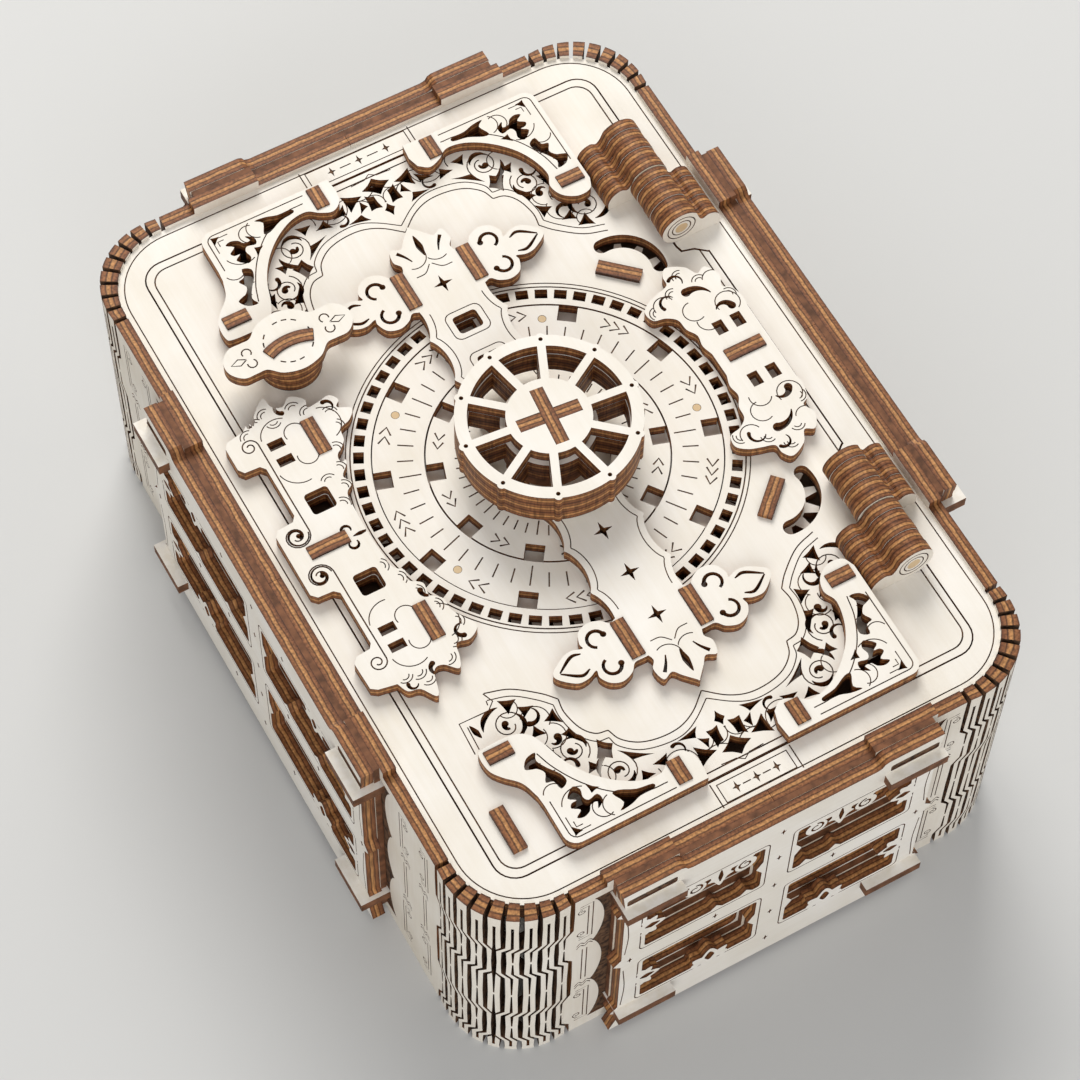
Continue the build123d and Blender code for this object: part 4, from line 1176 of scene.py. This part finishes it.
def slit(number, pitch=1.855):
    """One upright slit of the bend. Odd slits part two teeth of the top edge: they run the whole height and
    are bridged in the two bands that jog. Even slits split a tooth in two: they are closed at both ends and
    bridged in the middle. A slit is wide where its neighbours are bridged, narrow where it jogs itself."""
    middle = half_short + BEND / 2 + number * pitch
    shift = -np.sign(number) * 1.7
    odd = number % 2 == 1
    narrow, wide, thin = 0.6, 1.22, 0.7
    outer_band, inner_band = (wide, narrow) if odd else (narrow, wide)
    rows = [
        (75.5 if odd else 69.0, 58.3, outer_band, 0), (55.9, 44.2, inner_band, 1),
        (41.6, 22.1, outer_band, 0), (19.5, 7.1, inner_band, 1),
        (4.7, -1.0 if odd else 1.6, outer_band, 0),
    ]
    sections = []
    for high, low, width, jogged in rows:
        centre = (high + low) / 2
        for z in (high, centre, low):
            sections.append((z, middle + jogged * shift, width if z == centre else (width + thin) / 2))
    gaps = BRIDGES_ODD if odd else BRIDGES_EVEN
    strokes, run = [], []
    for z, s_at, width in sections:
        at_bridge = any(abs(z - (high + low) / 2) < 0.1 for high, low, _, jogged in rows
                        if (jogged == 1) == odd and any(abs((high + low) / 2 - g) < 1.5 for g in gaps))
        if at_bridge:
            run.append((z + 0.55, s_at, 0.3))
            strokes.append(run)
            run = [(z - 0.55, s_at, 0.3)]
        else:
            run.append((z, s_at, width))
    strokes.append(run)
    made = []
    for run in strokes:
        left = [(s_at - width / 2, z) for z, s_at, width in run]
        right = [(s_at + width / 2, z) for z, s_at, width in run]
        made.append(("cut", np.array(left + right[::-1])))
    return made


def facing_lobes(at, way):
    """Three round lobes of plain wood beside a panel; what lies between them and the panel is scored and
    coloured dark as painted shadow.
    """
    z = np.linspace(4.0, 70.0, 67)
    reach = 4.6 - 2.6 * np.abs(np.sin(np.pi * (z - 4.0) / 22.0)) ** 0.7
    outer = np.stack([at + way * reach, z], 1)
    inner = np.stack([np.full(2, at), (70.0, 4.0)], 1)
    return [("score", np.concatenate([outer, inner]))]


def scroll_frame(at, way, z0, z1):
    """A double engraved line shaped like a square bracket, with a small scroll at each end."""
    steps = []
    for inset in (0, 1.1):
        near_x, far_x = at + way * inset, at + way * 3.2
        steps += lines_of([
            [(far_x, z1 - inset), (near_x, z1 - inset), (near_x, z0 + inset), (far_x, z0 + inset)],
        ], 0.28)
    for z, turn in ((z1 - 3.0, 1), (z0 + 3.0, -1)):
        steps += lines_of([spiral(at + way * 2.6, z, 1.2, 0.3, 90 * turn, -way * turn * 1.2, 14)], 0.28)
    return steps


def corner_steps():
    """One wall, flat: from the middle of a short side, round the bend, to the middle of a long side."""
    total = half_short + BEND + half_long
    steps = [("add", np.array([(0.05, 0), (total - 0.05, 0), (total - 0.05, WALL_TOP), (0.05, WALL_TOP)]))]
    for low, high in ((24.0, 40.5), (total - 53.0, total - 38.0)):
        steps.append(("add", np.array([(low, 60), (high, 60), (high, CREST_TOP), (low, CREST_TOP)])))
    for number in range(-9, 10):
        steps += slit(number)
    for low_z, high_z in WINDOW_ROWS:
        middle_z, tall = (low_z + high_z) / 2, high_z - low_z - 2.4
        steps.append(("cut", box(18.6, middle_z, 26.4, tall, 2.0)))
        steps.append(("cut", box(total - 24.8, middle_z, 39.0, tall, 2.0)))
    for at, wide in ((32.25, 14.5), (total - 46.5, 13.0)):
        for z in (11.0, 67.2):
            steps.append(("cut", box(at, z, wide, 3.2)))
    beyond = half_short + BEND
    steps += facing_lobes(38.8, 1) + facing_lobes(total - 51.3, -1)
    for z0, z1 in ((5.0, 22.5), (51.5, 69.0)):
        steps += scroll_frame(43.6, 1, z0, z1)
        steps += scroll_frame(beyond + 5.0, 1, z0, z1) + scroll_frame(beyond + 17.5, -1, z0, z1)
    for z in (25.8, 48.2):
        wave = [(0, z), (1.0, z + 1.1), (2.0, z), (3.0, z + 1.1), (4.0, z)]
        for start in (43.2, beyond + 5.2, beyond + 13.4):
            steps += lines_of([smooth(np.array(wave) + (start, shift), False, 4) for shift in (0, -1.3)],
                              0.28)
    for at in (44.6, 45.7, beyond + 6.2, beyond + 7.3, beyond + 15.2, beyond + 16.3):
        steps += lines_of([[(at, 28.6), (at, 45.4)]], 0.28)
    return steps


bend_lines = [[(half_short + f * BEND, -0.5), (half_short + f * BEND, 76)] for f in np.linspace(0, 1, 25)]


def round_corner(side, end):
    """Bends a flat wall: straight, then an arc about the corner's centre, then straight again."""
    def bend(s, z, w):
        inner = WALL_R - PLY
        a = np.clip((s - half_short) / WALL_R, 0, math.pi / 2)
        reach = inner + w * (1 + 0.35 * np.sin(2 * a))
        x = np.where(s < half_short, s, half_short + reach * np.sin(a))
        y = np.where(s < half_short, half_long + inner + w, half_long + reach * np.cos(a))
        past = s > half_short + BEND
        y = np.where(past, half_long - (s - half_short - BEND), y)
        x = np.where(past, half_short + inner + w, x)
        return side * x, -end * y, z
    return bend


wall = raise_board(corner_steps(), 0.0, PLY, bend_lines)
for side_name, side in (("left", -1), ("right", 1)):
    for end_name, end in (("near", 1), ("far", -1)):
        piece = make_mesh(f"wall_{side_name}_{end_name}", [wall], round_corner(side, end), side * end < 0)
        dress(piece, "case", [f"corner_wall_{side_name}_{end_name}"], face_z)
        # The upright edge faces in the bends, mostly slit walls, take the dark finish: partly the heavier
        # char of the narrow slits, partly painted shade inside them.
        for polygon in piece.data.polygons:
            past_x = abs(polygon.center.x) / MM > half_short - 1
            past_y = abs(polygon.center.y) / MM > half_long - 1
            if polygon.material_index == 1 and abs(polygon.normal.z) < 0.6 and past_x and past_y:
                polygon.material_index = 2

# %% [markdown]
# ## Outer panels
# Each side carries a panel with four windows. Cusps, sprigs and small rings grow from their edges, and
# hollow stars mark the crossings of the bars.

# %% Outer panels
def flower(x, z, turn, size=1.0):
    """A sprig that grows from an edge towards +z: a pointed middle leaf with an eye between petals."""
    petals = [
        eye(0, 3.2, 8.8, 5.2), eye(-2.9, 2.0, 7.0, 4.2, 48), eye(2.9, 2.0, 7.0, 4.2, -48),
        circle(-4.3, 0.4, 1.6, 16), circle(4.3, 0.4, 1.6, 16), circle(0, 1.0, 3.2, 20),
    ]
    steps = [("add", spin(petal * size, turn) + (x, z)) for petal in petals]
    return steps + [("cut", spin(eye(0, 2.8, 5.4, 3.0) * size, turn) + (x, z))]


def ring_pair(x, z):
    """Two small loops and a pointed drop that hang from the upper edge of a window."""
    steps = [
        ("add", np.array([(x - 8.6, z + 0.5), (x - 7.4, z - 1.2), (x + 7.4, z - 1.2), (x + 8.6, z + 0.5)])),
        ("add", circle(x - 6.2, z - 3.0, 2.7, 24)), ("add", circle(x + 6.2, z - 3.0, 2.7, 24)),
    ]
    drop = [(-3.4, 0.4), (-2.4, -2.0), (-3.2, -3.4), (-1.6, -4.2), (0, -7.2)]
    drop += [(-a, b) for a, b in drop[:-1][::-1]]
    steps.append(("add", smooth(drop, False, 4) + (x, z)))
    for side in (-1, 1):
        steps.append(("cut", stroke(spiral(x + side * 6.2, z - 3.0, 1.9, 0.7, 90, side * 1.1, 18), 0.6,
                                    0.5)))
    steps.append(("cut", eye(x, z - 2.4, 6.0, 1.2)))
    return steps


def panel_steps(half, window_end, tab, eye_at, crest, star_rows):
    """One outer panel seen from outside, with its middle at u = 0."""
    top, bottom = CREST_TOP, 2.0
    edge = [
        (half, bottom), (half - 0.6, bottom + 1.4), (half - 1.9, 6.4), (half - 1.9, 9.5), (half, 11.5),
        (half - 1.9, 13.5), (half - 1.9, 36.5), (half, 38.5), (half - 1.9, 40.5), (half - 1.9, 63.5),
        (half, 65.5), (half - 1.9, 67.5), (half - 1.2, top), (crest + 1.4, top),
        (crest + 0.4, top - 0.5), (crest - 0.2, WALL_TOP + 0.4), (crest - 1.4, WALL_TOP),
    ]
    edge = np.array(edge)
    steps = [("add", np.concatenate([edge, (edge * (-1, 1))[::-1]]))]
    for low, high in WINDOW_ROWS:
        middle, tall = (low + high) / 2, high - low
        for side in (-1, 1):
            centre = side * (window_end + 4.1) / 2
            wide = window_end - 4.1
            steps += loop_line(box(centre, middle, wide + 2.6, tall + 2.4, 1.4),
                               box(centre, middle, wide + 2.0, tall + 1.8, 1.2))
            steps.append(("cut", box(centre, middle, wide, tall, 0.8)))
            cusp = np.array([(0, -3.0), (0.0, 3.0), (side * 1.7, 0)]) + (side * 4.0, middle)
            steps.append(("add", cusp))
            steps += flower(side * (window_end + 0.4), middle, side * 90, 0.7)
            if low > 40 and half < 50:
                steps += ring_pair(side * eye_at, high)
            elif low > 40:
                steps += flower(side * eye_at, high + 0.3, 180, 0.72)
            if low < 40:
                steps += flower(side * eye_at, low - 0.3, 0, 0.8)
            tick = np.array([(-1.6, 0), (0, 1.8), (1.6, 0)])
            for at in (eye_at * 0.5, eye_at):
                if low > 40:
                    steps.append(("add", tick + (side * at, low - 0.1)))
    for side in (-1, 1):
        mid = side * sum(tab) / 2
        # A dark scored patch stands for the open slot over the tab: painted shade.
        steps.append(("score", box(mid, 70.9, tab[1] - tab[0] - 2.4, 2.6, 0.6)))
        for z in (11.0, 67.2):
            steps.append(("cut", box(mid, z, tab[1] - tab[0], 3.2)))
    for z, places in star_rows:
        for u in places:
            steps.append(("cut", star(u, z, 1.35, 0.8)))
    lines = [
        [(half - 2.6, 14), (half - 3.2, 24), (half - 2.6, 34)],
        [(half - 2.6, 43), (half - 3.2, 52), (half - 2.6, 62)],
    ]
    for path in lines:
        steps += lines_of([smooth(path, False), smooth(np.array(path) * (-1, 1), False)], FINE)
    return steps


short_stars = [(66.5, [0]), (53.2, [0]), (38.4, [0, 15, -15, 36.4, -36.4]), (24.0, [0]), (9.0, [0])]
long_stars = [
    (66.5, [0, 14.7, -14.7]), (53.2, [0]), (38.4, [0, 14.7, -14.7, 29.3, -29.3, 50, -50]), (24.0, [0]),
    (9.0, [0, 14.7, -14.7]),
]
short_board = raise_board(panel_steps(40.5, 33.0, (25.0, 39.5), 15.0, 24.0, short_stars), 0.0, PLY)
long_board = raise_board(panel_steps(53.0, 45.5, (40.0, 53.0), 29.3, 38.0, long_stars), 0.0, PLY)
INNER_X, INNER_Y = PANEL_X - PLY, PANEL_Y - PLY
places = {
    "short_panel_near": lambda u, v, w: (u, -(INNER_Y + w), v),
    "short_panel_far": lambda u, v, w: (-u, INNER_Y + w, v),
    "long_panel_right": lambda u, v, w: (INNER_X + w, u, v),
    "long_panel_left": lambda u, v, w: (-(INNER_X + w), -u, v),
}
for node, bend in places.items():
    board = short_board if node.startswith("short") else long_board
    grain = face_x if node.startswith("short") else face_y
    dress(make_mesh(node + "_fret", [board], bend), "case", [node], grain)

# %% [markdown]
# ## Boards that keep their working shape
# The boards inside the box, the gears and the dowels already have the right shape, so they only get a
# finish:
# wood for most, a darker cream as painted shade on the upright boards inside, and painted shade on the lid's
# backing.

# %% Boards that keep their working shape
level_ply = whole_board_finish("level board", CREAM, WARM, 2, BURNT)
# The upright boards inside the box get a darker copy of the cream, as painted shade; their burnt edges are
# their own colour.
shaded_ply_across_x = whole_board_finish("board across x", (0.78, 0.71, 0.60), (0.62, 0.52, 0.40), 0, BURNT)
shaded_ply_across_y = whole_board_finish("board across y", (0.78, 0.71, 0.60), (0.62, 0.52, 0.40), 1, BURNT)
# A near-black board under the lid: painted shade, seen through the lid's cuts.
shadow_ply = whole_board_finish("painted shade board", (0.16, 0.10, 0.065), (0.10, 0.06, 0.04), 2,
                                (0.12, 0.05, 0.025))
finish_of = {
    "base_plate": level_ply, "floor_board": level_ply, "deck_frame": level_ply, "lid_backing": shadow_ply,
    "lid_blocks": level_ply, "gear_guide": level_ply, "ring_gear": level_ply, "ring_carrier": level_ply,
    "idler_gear_near": level_ply, "idler_gear_far": level_ply, "lock_bolt": level_ply,
    "bolt_guides": level_ply, "wheel_foot": level_ply, "knob_pinion": level_ply, "idler_axles": dowel,
    "hinge_pin_near": dowel, "hinge_pin_far": dowel, "wheel_spindle": dowel, "long_liners": shaded_ply_across_x,
    "short_liners": shaded_ply_across_y, "long_relief_frames": shaded_ply_across_x, "short_relief_frames": shaded_ply_across_y,
}
for name, material in finish_of.items():
    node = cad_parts[name]
    node.data.materials.clear()
    node.data.materials.append(material)
